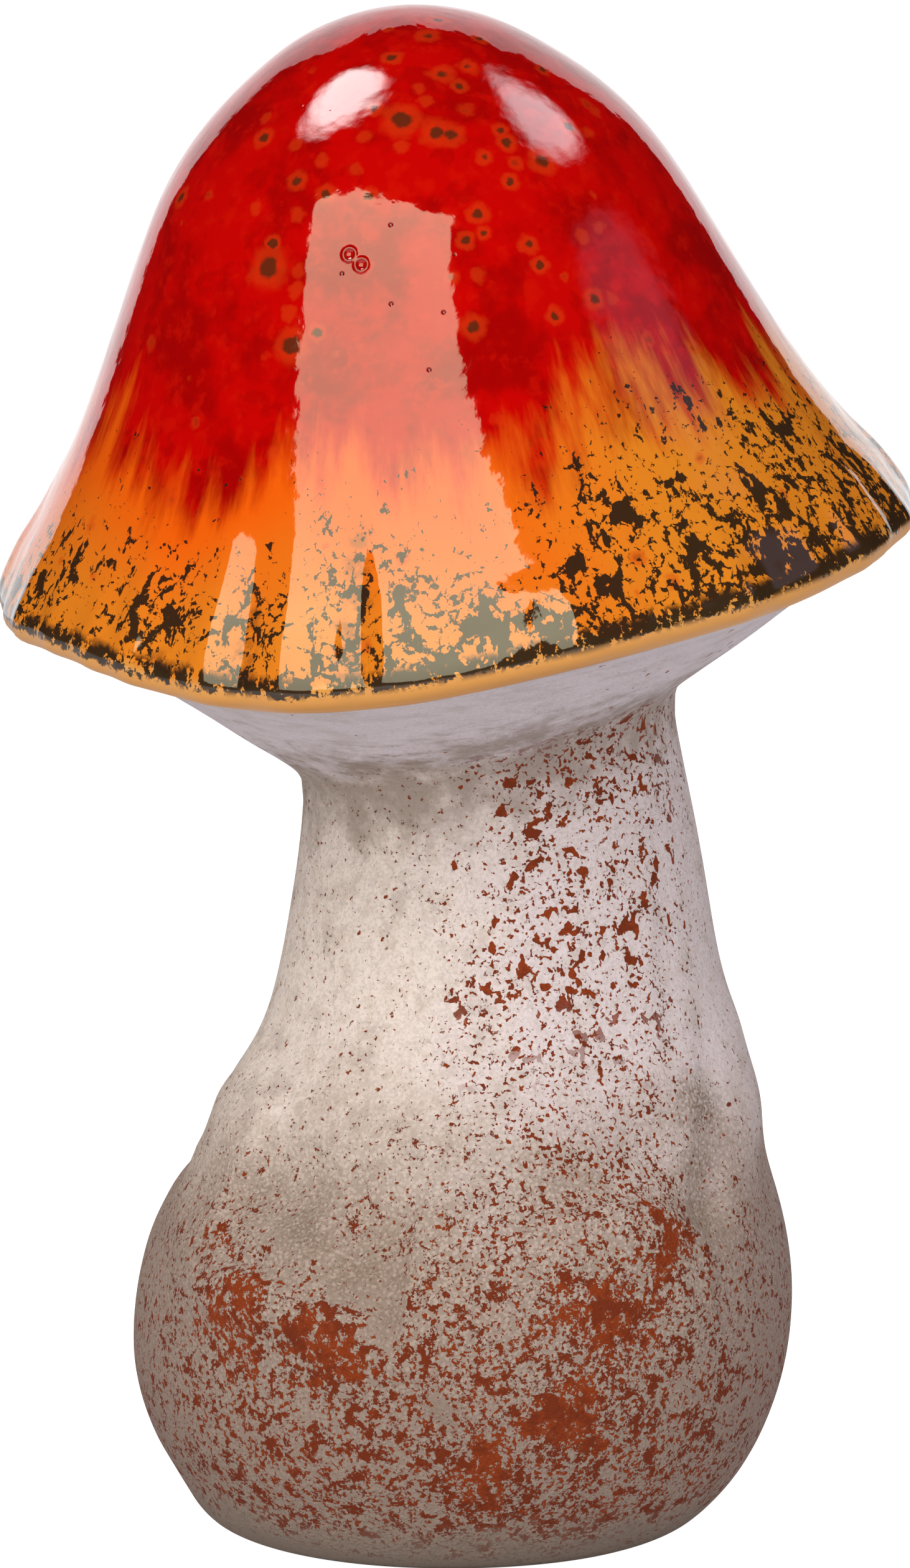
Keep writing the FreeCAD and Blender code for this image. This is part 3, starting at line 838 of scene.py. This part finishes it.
# The dome from its rim up: shares of the rim's radius and of the rise
dome_shares = (
    (1.000, 0.000), (0.985, 0.030), (0.955, 0.080), (0.898, 0.153),
    (0.822, 0.254), (0.755, 0.353), (0.697, 0.451), (0.643, 0.545),
    (0.590, 0.637), (0.528, 0.727), (0.441, 0.816), (0.316, 0.904),
    (0.210, 0.958), (0.110, 0.988),
)
# The glaze's turned-under edge from below: millimetres inside its reach, and shares of how far it turns under
edge_turns = ((4.4, 1.00), (1.9, 0.72), (0.4, 0.36))
# The stem from its foot up: shares of the neck's height, of what the bulb is wider than the neck, and of
# how far the neck stands to the right
stem_shares = (
    (0.003, 0.00, 0.00), (0.006, 0.16, -0.10), (0.018, 0.35, -0.10),
    (0.040, 0.50, -0.04), (0.075, 0.65, 0.09), (0.115, 0.79, 0.10),
    (0.165, 0.91, 0.11), (0.215, 0.98, 0.15), (0.265, 1.00, 0.23),
    (0.318, 0.98, 0.33), (0.370, 0.91, 0.45), (0.425, 0.79, 0.61),
    (0.480, 0.67, 0.81), (0.540, 0.59, 1.04), (0.613, 0.40, 1.30),
    (0.694, 0.25, 1.30), (0.776, 0.17, 1.27), (0.858, 0.10, 1.20),
    (0.929, 0.04, 1.10), (1.000, 0.00, 1.00),
)
# Where the underside's coat runs over the stem's: millimetres below the neck and out of it
stem_laps = (
    (6.4, 0.40), (5.8, 0.40), (5.2, 0.40), (4.6, 0.40), (4.0, 0.42),
    (3.4, 0.45), (2.8, 0.50), (2.0, 0.60), (1.2, 0.76), (0.5, 0.93),
)
# The underside from the neck out: shares of the drop and of the spread, and lift
underside_shares = (
    (0.000, 0.000, 1.05), (0.025, 0.012, 0.92), (0.060, 0.030, 0.66),
    (0.105, 0.060, 0.50), (0.160, 0.110, 0.42), (0.225, 0.167, 0.45),
    (0.335, 0.264, 0.60), (0.590, 0.500, 0.80), (0.825, 0.750, 0.80),
    (0.945, 0.936, 0.80), (0.985, 0.985, 0.80),
)
# Middle and half width in degrees, strength, and reach above the rim in millimetres
glaze_pleats = (
    (199.0, 2.2, 0.6, 18.0), (209.0, 1.6, 0.5, 14.0), (218.3, 1.8, 0.7, 16.0),
    (225.0, 1.9, 0.9, 24.0), (231.0, 1.5, -0.7, 20.0), (237.4, 2.2, 1.0, 28.0),
    (242.5, 1.4, -0.9, 24.0), (248.4, 2.2, 1.0, 27.0), (254.0, 1.2, 0.5, 24.0),
    (257.6, 2.0, -1.3, 30.0), (261.5, 1.2, 0.5, 24.0), (270.5, 1.4, -0.5, 16.0),
    (285.9, 1.8, 0.8, 16.0), (291.0, 1.3, -0.5, 14.0), (297.0, 1.6, -0.5, 16.0),
    (308.8, 1.5, 0.9, 18.0), (314.5, 1.3, -0.6, 16.0), (322.0, 1.6, 0.8, 22.0),
    (331.0, 1.6, 0.9, 24.0), (340.0, 1.8, 0.8, 24.0), (8.0, 2.2, 0.8, 20.0),
    (30.0, 2.4, 0.9, 24.0), (68.0, 2.6, 1.0, 26.0), (97.0, 2.2, 0.9, 22.0),
    (134.0, 2.6, 0.9, 26.0), (142.0, 1.6, -0.8, 22.0), (175.0, 2.4, 0.9, 24.0),
)
# Turn in degrees, rise and radius in millimetres
glaze_spots = (
    (238, 50.0, 1.4), (245, 40.7, 1.2), (271, 65.6, 1.3), (281, 63.8, 1.1), (285, 63.4, 0.9),
    (307, 58.4, 1.0), (300, 62.8, 0.6), (300, 61.4, 0.7), (322, 61.1, 0.7), (292, 60.4, 0.6),
    (296, 57.1, 0.6), (223, 64.0, 0.8), (241, 59.8, 0.7), (250, 58.3, 0.7), (262, 67.1, 0.6),
    (261, 57.9, 0.6), (238, 52.8, 0.6), (286, 54.4, 0.7), (282, 51.6, 0.6), (286, 52.1, 0.5),
    (295, 49.7, 0.6), (296, 47.0, 0.6), (305, 41.5, 0.8), (280, 41.3, 0.8), (296, 40.7, 0.6),
    (250, 42.3, 0.6), (297, 73.1, 0.8), (324, 74.1, 0.8), (269, 71.9, 0.7), (304, 69.7, 0.7),
    (291, 69.5, 0.8), (295, 68.2, 0.6), (326, 71.8, 0.6), (336, 67.1, 0.6), (30, 62.0, 1.1),
    (62, 48.0, 1.3), (85, 66.0, 0.8), (110, 55.0, 1.2), (150, 62.0, 0.9), (170, 47.0, 1.3),
    (200, 56.0, 0.8),
)
# Turn in degrees and rise in millimetres
glaze_dots = (
    (259, 64.2), (237, 63.5), (219, 65.9), (270, 62.9), (247, 61.9), (257, 61.0),
    (279, 68.6), (280, 67.3), (308, 49.0), (283, 47.1), (231, 56.6), (243, 56.1),
    (244, 44.5), (245, 49.8), (245, 47.4), (337, 61.3), (327, 59.7),
)
# The lips of the folds: millimetres to the right and up
left_lip = (
    (-27.7, 55.5), (-31.6, 50.4), (-32.8, 44.8), (-31.6, 40.2), (-24.4, 38.7), (-17.7, 37.0), (-10.0, 33.0),
)
middle_lip = ((-2.6, 26.0), (-6.5, 34.2), (-5.4, 39.8), (-4.5, 46.5), (-2.6, 53.2))
right_lip = ((14.0, 48.5), (22.0, 49.6), (27.5, 48.2), (31.4, 44.8), (33.1, 39.5))
# Rise and half width in millimetres, and the line
fold_lips = (
    (2.1, 3.0, left_lip),
    (1.2, 2.6, middle_lip),
    (1.8, 3.0, right_lip),
)
# Right, back, height and radius in millimetres
worn_places = (
    (-28.0, -31.0, 35.5, 8.5), (-17.0, -38.0, 33.0, 9.0), (-33.0, -26.0, 45.0, 3.5),
    (19.0, -37.0, 36.0, 9.0), (25.0, -31.0, 44.5, 7.0), (14.0, -40.0, 24.0, 8.5),
    (4.0, -44.0, 13.0, 8.0), (20.0, 36.0, 40.0, 9.0), (-14.0, 38.0, 30.0, 9.0),
    (38.0, 18.0, 34.0, 8.0), (-38.0, 14.0, 36.0, 8.0),
)
# Brown wash and painted shade in the folds' hollows: right, back, height and radius in millimetres
washed_and_shaded_hollows = (
    (-25.0, -29.0, 52.0, 5.5), (-20.0, -33.0, 47.0, 6.5), (-12.5, -38.0, 41.0, 6.0),
    (-9.0, -40.0, 36.0, 4.0), (-2.5, -43.0, 25.0, 2.2), (33.0, -21.0, 61.0, 4.5),
    (33.5, -23.0, 54.0, 4.5), (34.0, -25.0, 47.0, 4.0), (16.0, -31.0, 53.0, 4.0),
    (10.0, 34.0, 54.0, 8.0), (-30.0, 20.0, 54.0, 7.0),
)
# Turn in degrees and rise in millimetres
glaze_pits = (
    (267, 57.0), (266, 54.5), (279, 50.1), (271, 36.9), (265, 45.2), (275, 43.5),
    (253, 58.6), (255, 49.2), (253, 65.9), (245, 67.1), (233, 67.6),
)
# Turn in degrees, rise and radius in millimetres
glaze_pools = (
    (257.0, 1.0, 2.6), (257.0, 4.0, 2.6), (257.3, 7.5, 2.5), (257.6, 11.0, 2.4), (257.6, 14.5, 2.2),
    (257.8, 18.0, 1.8), (242.5, 1.5, 2.4), (242.5, 5.0, 2.2), (242.8, 9.0, 1.8), (231.0, 3.0, 2.0),
)
# Millimetres
dot_radius = 0.9
pit_radius = 0.24
crater_radius = 0.85
# Turn in degrees and rise in millimetres
crater_lobes = ((256.6, 51.4), (259.2, 50.1))


# Pieces


def stem_ring(stem, share, place=None):
    """The stem casting's ring at a share of the neck's height: radius, centre and leans."""
    upright_share = 0.55
    place = place or min(along(stem_shares, 400), key=lambda one: abs(one.x - share))
    tilt = smooth_step((share - upright_share) / 0.45)
    centre = Vector((stem.neck_right * place.z, stem.neck_back * share, stem.neck_height * share))
    radius = stem.neck_radius + (stem.bulb_radius - stem.neck_radius) * place.y
    return radius, centre, stem.lean_left * tilt, stem.lean_forward * tilt


class MUSHROOM_OT_glaze(bpy.types.Operator):
    """Throw the glaze over the cap's dome and round its rim"""

    bl_idname = "mushroom.glaze"
    bl_label = "Cap Glaze"

    def execute(self, context):
        sizes = context.scene.mushroom_cap
        clear = 1.2 * MM
        ring_count = 104
        reach = sizes.rim_radius + sizes.glaze + clear
        top = sizes.rise + sizes.glaze + clear
        under = -sizes.turn_under
        points = [(reach - inset * MM, share * under) for inset, share in edge_turns]
        points += [(reach * out, top * up) for out, up in dome_shares]
        piece = throw_shell("glaze_coat", upright(along(points, ring_count)), sizes.sides, close_top=True)
        note_height(piece, "above_rim")
        self.wave_rim(piece, sizes)
        turning = leaning(sizes.lean_left, sizes.lean_forward).to_euler()
        stand(piece, turning, rim_centre(sizes))
        lay_over(piece, "cap_casting", sizes.glaze)
        smooth(piece, 10)
        lay_over(piece, "cap_casting", sizes.glaze)
        smooth(piece, 6)
        self.deepen_pleats(piece, sizes)
        self.burst_bubbles(piece, sizes)
        give_wall(piece, sizes.glaze, kept_share=0.15)
        hand_over(piece, "cap_glaze", Glaze(sizes).finished())
        return {"FINISHED"}

    def deepen_pleats(self, piece, sizes):
        """Lets the glaze stand thicker on the pleats of the rim and thinner between them."""
        back = leaning(sizes.lean_left, sizes.lean_forward).transposed()
        rim = rim_centre(sizes)
        longest, starts, full_after, widths_off = 30.0, 0.3, 5.0, 3.0

        def pleat(place):
            own = back @ (place - rim)
            turn, above = turn_of(own), own.z / MM
            if above > longest:
                return 0.0
            under = smooth_step((above - starts) / full_after)
            total = 0.0
            for middle, half_turn, rise, reach in glaze_pleats:
                aside = math.remainder(turn - middle, 360.0)
                if abs(aside) < widths_off * half_turn:
                    total += rise * bump(aside, half_turn) * smooth_step(1.0 - above / reach) * under
            return total

        push_both_ways(piece, "NORMAL", sizes.pleat_rise, pleat)

    def burst_bubbles(self, piece, sizes):
        """Leaves a double crater with a raised edge where two bubbles burst in the glaze."""
        patch = 3.4 * MM
        edge_rise, edge_width = 0.16 * MM, 0.28
        floor_share, floor_width = 0.8, 0.5
        turned = leaning(sizes.lean_left, sizes.lean_forward)
        rim = rim_centre(sizes)
        lobes = [rim + turned @ (Vector(dome_place(sizes, *lobe)) * MM) for lobe in crater_lobes]
        middle = sum(lobes, Vector()) / len(lobes)
        take_up(piece)
        for face in piece.data.polygons:
            face.select = (face.center - middle).length < patch
        for edge in piece.data.edges:
            edge.select = False
        for vertex in piece.data.vertices:
            vertex.select = False
        bpy.ops.object.mode_set(mode="EDIT")
        bpy.ops.mesh.select_mode(type="FACE")
        bpy.ops.mesh.subdivide(number_cuts=5, smoothness=1.0)
        bpy.ops.object.mode_set(mode="OBJECT")

        def relief(place):
            if (place - middle).length >= patch:
                return 0.0
            total = 0.0
            for lobe in lobes:
                reach = (place - lobe).length / MM
                total += bump(reach - crater_radius, edge_width) - floor_share * bump(reach, floor_width)
            return total

        push_both_ways(piece, "NORMAL", edge_rise, relief)

    def wave_rim(self, piece, sizes):
        """Lifts and drops the rim in slow waves, less and less towards the top."""
        neck_share = 0.41

        def wave(place):
            turn = turn_of(place)
            total = 0.0
            for middle, half, rise in rim_waves:
                total += rise * bump(math.remainder(turn - middle, 360.0), half)
            out = (place.xy.length / sizes.rim_radius - neck_share) / (1.0 - neck_share)
            return total * smooth_step(out)

        push_both_ways(piece, "Z", sizes.rim_warp, wave)


class MUSHROOM_OT_underside(bpy.types.Operator):
    """Brush the engobe under the cap and in a soft curve over the joint"""

    bl_idname = "mushroom.underside"
    bl_label = "Underside Engobe"

    def execute(self, context):
        cap = context.scene.mushroom_cap
        stem = context.scene.mushroom_stem
        neck = Vector((stem.neck_right, stem.neck_back, stem.neck_height))
        rings = self.rings(cap, stem, neck)
        piece = throw_shell("underside_coat", rings, stem.sides, close_top=False, open_flange=True)
        tilted = leaning(stem.lean_left, stem.lean_forward).col[2]
        for name, node, side, clear, reach, thickness in (
            ("over_cap", "cap_casting", 1.0, 1.5 * MM, 4.0 * MM, stem.engobe),
            ("over_stem", "stem_casting", -1.0, 1.2 * MM, 1.6 * MM, stem.engobe + 0.03 * MM),
        ):
            def off_neck(place):
                return smooth_step((side * (place - neck).dot(tilted) - clear) / reach)

            lay_over(piece, node, thickness, weigh(piece, name, off_neck))
        self.round_joint(piece, neck, tilted)
        give_wall(piece, stem.engobe, kept_share=0.4)
        hand_over(piece, "underside_engobe", underside_finish(cap, stem))
        return {"FINISHED"}

    def rings(self, cap, stem, neck):
        """The coat's rings, from its lap over the stem up to the neck and out to the rim."""
        raised = 0.75
        ring_count = 44
        rim = rim_centre(cap)
        up = leaning(cap.lean_left, cap.lean_forward).col[2]
        drop = (rim - neck).dot(up)
        spread = cap.rim_radius - stem.neck_radius
        rings = []
        for below, lift in stem_laps:
            share = 1.0 - below * MM / stem.neck_height
            radius, centre, lean_left, lean_forward = stem_ring(stem, share)
            rings.append((radius + lift * MM, centre, lean_left, lean_forward))
        for share, out_share, lift in along(underside_shares, ring_count):
            faded = (1.0 - smooth_step(share)) ** 3
            centre = rim - up * (drop * (1.0 - share)) + (neck - rim + up * drop) * faded
            rings.append(
                (
                    stem.neck_radius + spread * out_share + raised * lift * MM,
                    centre - up * raised * lift * MM,
                    cap.lean_left + (stem.lean_left - cap.lean_left) * faded,
                    cap.lean_forward + (stem.lean_forward - cap.lean_forward) * faded,
                )
            )
        return rings

    def round_joint(self, piece, neck, tilted):
        """Leaves a soft bead under the neck, tucks the coat's end under the stem's and rounds the corner."""
        bead_below, bead_width, bead_rise = 2.2, 1.3, 0.12 * MM
        tuck_below, tuck_full, tuck_depth = 3.2, 2.4, 0.35 * MM
        corner_above, corner_width = 0.5, 3.0

        def below_neck(place):
            return (neck - place).dot(tilted) / MM

        def tuck(place):
            return smooth_step((below_neck(place) - tuck_below) / tuck_full)

        proud = weigh(piece, "proud", lambda place: bump(below_neck(place) - bead_below, bead_width))
        push(piece, proud, "NORMAL", bead_rise)
        push(piece, weigh(piece, "tucked", tuck), "NORMAL", -tuck_depth)
        corner = weigh(piece, "corner", lambda place: bump(below_neck(place) + corner_above, corner_width))
        smooth(piece, 24, corner)
        piece.vertex_groups.clear()
        smooth(piece, 3)


class MUSHROOM_OT_stem(bpy.types.Operator):
    """Coat the stem and its bulb with engobe"""

    bl_idname = "mushroom.stem"
    bl_label = "Stem Engobe"

    def execute(self, context):
        stem = context.scene.mushroom_stem
        clear_of_folds = 3.4 * MM
        ring_count = 96
        rings = []
        for place in along(stem_shares, ring_count):
            radius, centre, lean_left, lean_forward = stem_ring(stem, place.x, place)
            rings.append((radius + clear_of_folds, centre, lean_left, lean_forward))
        piece = throw_shell("stem_coat", rings, stem.sides, close_top=False)
        lay_over(piece, "stem_casting", stem.engobe)
        finish_with(piece, "SUBSURF", levels=1, render_levels=1)
        self.raise_lips(piece)
        give_wall(piece, stem.engobe, kept_share=0.2)
        hand_over(piece, "stem_engobe", stem_finish(stem))
        return {"FINISHED"}

    def raise_lips(self, piece):
        """Lets the engobe stand thicker on the lips of the root folds, steep on each lip's left side."""
        steep, gentle = 0.5, 1.8
        lowest, highest = 0.012, 0.072
        swells = 7.0 * MM

        def over_lip(place, reach, line):
            here = Vector((place.x, place.z)) / MM
            best = (math.inf, 0.0)
            for start, end in zip(line[:-1], line[1:]):
                start, way = Vector(start), Vector(end) - Vector(start)
                share = min(1.0, max(0.0, (here - start).dot(way) / way.length_squared))
                off = here - start - way * share
                side = way.x * off.y - way.y * off.x
                best = min(best, (off.length, math.copysign(off.length, side)))
            return bump(best[1], reach * (steep if best[1] > 0.0 else gentle))

        def lip(place):
            if place.y > 0.0 or not lowest < place.z < highest:
                return 0.0
            uneven = 0.8 + 0.5 * noise.noise(place / swells)
            return uneven * max(rise * over_lip(place, reach, line) for rise, reach, line in fold_lips)

        push(piece, weigh(piece, "lips", lip), "NORMAL", MM)
        piece.vertex_groups.clear()
        smooth(piece, 2)


class MUSHROOM_OT_bare_clay(bpy.types.Operator):
    """Give the two castings and the slip between them their clay finish"""

    bl_idname = "mushroom.bare_clay"
    bl_label = "Bare Clay"

    def execute(self, context):
        red_clay, brown_clay = (0.36, 0.11, 0.05), (0.24, 0.07, 0.035)
        grey_slip, dark_slip = (0.24, 0.19, 0.15), (0.12, 0.09, 0.07)
        clay = clay_finish("terracotta", red_clay, brown_clay)
        slip = clay_finish("joint_slip_clay", grey_slip, dark_slip)
        for name, finish in (("stem_casting", clay), ("cap_casting", clay), ("joint_slip", slip)):
            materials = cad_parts[name].data.materials
            materials.clear()
            materials.append(finish)
        return {"FINISHED"}


def backdrop_finish(name, whiteness, mirrored):
    """A white surface that stays white to the camera and in the glaze, and lights nothing by itself."""
    finish = Finish(name)
    rays = finish.add("ShaderNodeLightPath")
    seen = finish.either(rays.outputs["Is Camera Ray"], finish.times(rays.outputs["Is Glossy Ray"], mirrored))
    finish.glow_over(finish.shader.outputs[0], seen)
    return finish.complete((whiteness, whiteness, whiteness), 1.0, Specular_IOR_Level=0.0)


class MUSHROOM_OT_stage(bpy.types.Operator):
    """Set the camera, the floor, the backdrop and the studio's lamps"""

    bl_idname = "mushroom.stage"
    bl_label = "Stage"

    def execute(self, context):
        studio = context.scene.mushroom_studio
        target = Vector((0.0, 0.0, studio.target_height))
        away = Vector((0.0, -math.cos(studio.elevation), math.sin(studio.elevation)))
        clear_selection()
        bpy.ops.object.camera_add(location=target + away * studio.distance)
        camera = context.object
        camera.rotation_euler = (target - camera.location).to_track_quat("-Z", "Y").to_euler()
        camera.data.sensor_fit = "VERTICAL"
        camera.data.sensor_height = sensor_height
        camera.data.lens = camera.data.sensor_height * studio.distance / studio.frame_height
        context.scene.camera = camera
        bpy.ops.mesh.primitive_plane_add(size=floor_side, location=(0.0, 0.0, -floor_drop))
        floor = context.object
        floor.name = "floor"
        bpy.ops.object.transform_apply(location=True, rotation=False, scale=False)
        floor.data.materials.append(backdrop_finish("white_floor", 0.8, 0.25))
        bpy.ops.mesh.primitive_plane_add(size=1.0)
        wall = context.object
        wall.name = "backdrop"
        wall.scale = (*backdrop_sides, 1.0)
        wall.rotation_euler = (math.radians(90.0), 0.0, 0.0)
        wall.location = backdrop_place
        bpy.ops.object.transform_apply(location=True, rotation=True, scale=True)
        wall.data.materials.append(backdrop_finish("white_backdrop", 0.5, 0.8))
        wall.visible_camera = False
        for name, place, width, height, radiance, tint in lamps:
            self.hang_lamp(name, Vector(place), width, height, radiance, tint)
        for name, place, width, height, roll, high, low, tint in cards:
            self.hang_card(name, Vector(place), width, height, math.radians(roll), high, low, tint)
        self.fill_world(context)
        context.scene.view_settings.view_transform = "Standard"
        return {"FINISHED"}

    def hang_lamp(self, name, place, width, height, radiance, tint):
        """Hangs a rectangular lamp that faces the ornament."""
        bpy.ops.object.light_add(type="AREA", location=place)
        lamp = bpy.context.object
        lamp.name = lamp.data.name = name
        lamp.data.shape = "RECTANGLE"
        lamp.data.size = width
        lamp.data.size_y = height
        lamp.data.energy = radiance * math.pi * width * height
        lamp.data.color = tint
        lamp.rotation_euler = (Vector(lamp_aim) - place).to_track_quat("-Z", "Y").to_euler()
        lamp.visible_camera = False
        lamp.visible_glossy = False

    def hang_card(self, name, place, width, height, roll, high, low, tint):
        """Hangs a card that only the glaze reflects: its glow runs from high to low, or fades all round."""
        bpy.ops.mesh.primitive_plane_add(size=2.0, location=place)
        card = bpy.context.object
        card.name = card.data.name = name
        card.scale = (width / 2.0, height / 2.0, 1.0)
        bpy.ops.object.transform_apply(location=False, rotation=False, scale=True)
        facing = (Vector(card_aim) - place).to_track_quat("Z", "Y").to_matrix()
        card.rotation_euler = (facing @ Matrix.Rotation(roll, 3, "Z")).to_euler()
        finish = Finish(name)
        rays = finish.add("ShaderNodeLightPath")
        own = finish.scaled(finish.place, (2.0 * MM / width, 2.0 * MM / height, 0.0))
        if low is None:
            glow = finish.times(finish.step(finish.vector("LENGTH", own), 1.0, 0.45), high)
        else:
            up_card = finish.step(finish.parts(own)[1], -1.0, 1.0)
            glow = finish.plus(finish.times(up_card, high - low), low)
        clear = finish.add("ShaderNodeBsdfTransparent")
        finish.glow_over(clear.outputs[0], finish.times(glow, rays.outputs["Is Glossy Ray"]), tint)
        card.data.materials.append(finish.material)
        card.visible_camera = False
        card.visible_diffuse = False
        card.visible_shadow = False

    def fill_world(self, context):
        """Soft light from all round, dark in the glaze's reflections, and white behind the stage."""
        world = bpy.data.worlds.new("studio")
        context.scene.world = world
        world.use_nodes = True
        tree = world.node_tree
        surround = tree.nodes["Background"]
        rays = tree.nodes.new("ShaderNodeLightPath")
        soft = tree.nodes.new("ShaderNodeMix")
        soft.data_type = "RGBA"
        soft.inputs["A"].default_value = surround_light
        soft.inputs["B"].default_value = surround_reflected
        tree.links.new(rays.outputs["Is Glossy Ray"], soft.inputs["Factor"])
        seen = tree.nodes.new("ShaderNodeMix")
        seen.data_type = "RGBA"
        seen.inputs["B"].default_value = (1.0, 1.0, 1.0, 1.0)
        tree.links.new(rays.outputs["Is Camera Ray"], seen.inputs["Factor"])
        tree.links.new(soft.outputs["Result"], seen.inputs["A"])
        tree.links.new(seen.outputs["Result"], surround.inputs["Color"])


# The studio: lengths in metres, but the sensor's in millimetres
sensor_height = 24.0
floor_side = 8.0
floor_drop = 0.1 * MM
backdrop_sides = (1.5, 1.6)
backdrop_place = (-0.05, 1.2, 0.8)
surround_light = (0.30, 0.285, 0.30, 1.0)
surround_reflected = (0.008, 0.008, 0.009, 1.0)
lamp_aim = (0.0, 0.0, 0.13)
card_aim = (0.0, 0.0, 0.15)
# Name, place, width, height, radiance and tint
lamps = (
    ("softbox", (-0.66, -1.52, 1.03), 1.75, 1.45, 3.6, (1.0, 0.975, 0.95)),
    ("right_fill", (1.30, -0.80, 0.62), 1.1, 1.1, 1.6, (0.95, 0.95, 1.0)),
)
# Name, place, width, height, roll in degrees, glow at the top or the middle, glow at the bottom, and tint
cards = (
    ("softbox_card", (-0.65, -1.51, 1.02), 1.75, 1.45, 0.0, 6.1, 4.6, (1.0, 0.97, 0.68)),
    ("left_top_card", (-0.40, 0.040, 1.04), 0.38, 0.58, 18.0, 15.0, None, (1.0, 0.99, 0.98)),
    ("right_top_card", (0.52, 0.16, 0.97), 0.52, 0.46, 0.0, 6.5, None, (0.93, 0.96, 1.0)),
    ("cool_card", (0.93, -0.16, 0.61), 0.9, 0.5, 0.0, 0.55, None, (0.80, 0.70, 1.0)),
)


class MUSHROOM_PT_panel(bpy.types.Panel):
    """The ornament's making, in order"""

    bl_label = "Mushroom"
    bl_idname = "MUSHROOM_PT_panel"
    bl_space_type = "VIEW_3D"
    bl_region_type = "UI"
    bl_category = "Mushroom"

    def draw(self, context):
        for operator in steps:
            self.layout.operator(operator.bl_idname)


groups = {
    "mushroom_cap": MushroomCapSizes,
    "mushroom_stem": MushroomStemSizes,
    "mushroom_studio": MushroomStudio,
}
steps = (
    MUSHROOM_OT_stage,
    MUSHROOM_OT_bare_clay,
    MUSHROOM_OT_stem,
    MUSHROOM_OT_underside,
    MUSHROOM_OT_glaze,
)


def register():
    """Makes the sizes, the steps and the panel known."""
    for name, group in groups.items():
        bpy.utils.register_class(group)
        setattr(bpy.types.Scene, name, PointerProperty(type=group))
    for operator in steps:
        bpy.utils.register_class(operator)
    bpy.utils.register_class(MUSHROOM_PT_panel)


def unregister():
    """Takes them away again, last first."""
    bpy.utils.unregister_class(MUSHROOM_PT_panel)
    for operator in reversed(steps):
        bpy.utils.unregister_class(operator)
    for name, group in groups.items():
        delattr(bpy.types.Scene, name)
        bpy.utils.unregister_class(group)


def main():
    """Makes the ornament."""
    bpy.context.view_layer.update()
    register()
    for operator in steps:
        family, step = operator.bl_idname.split(".")
        getattr(getattr(bpy.ops, family), step)()


if __name__ == "__main__":
    main()
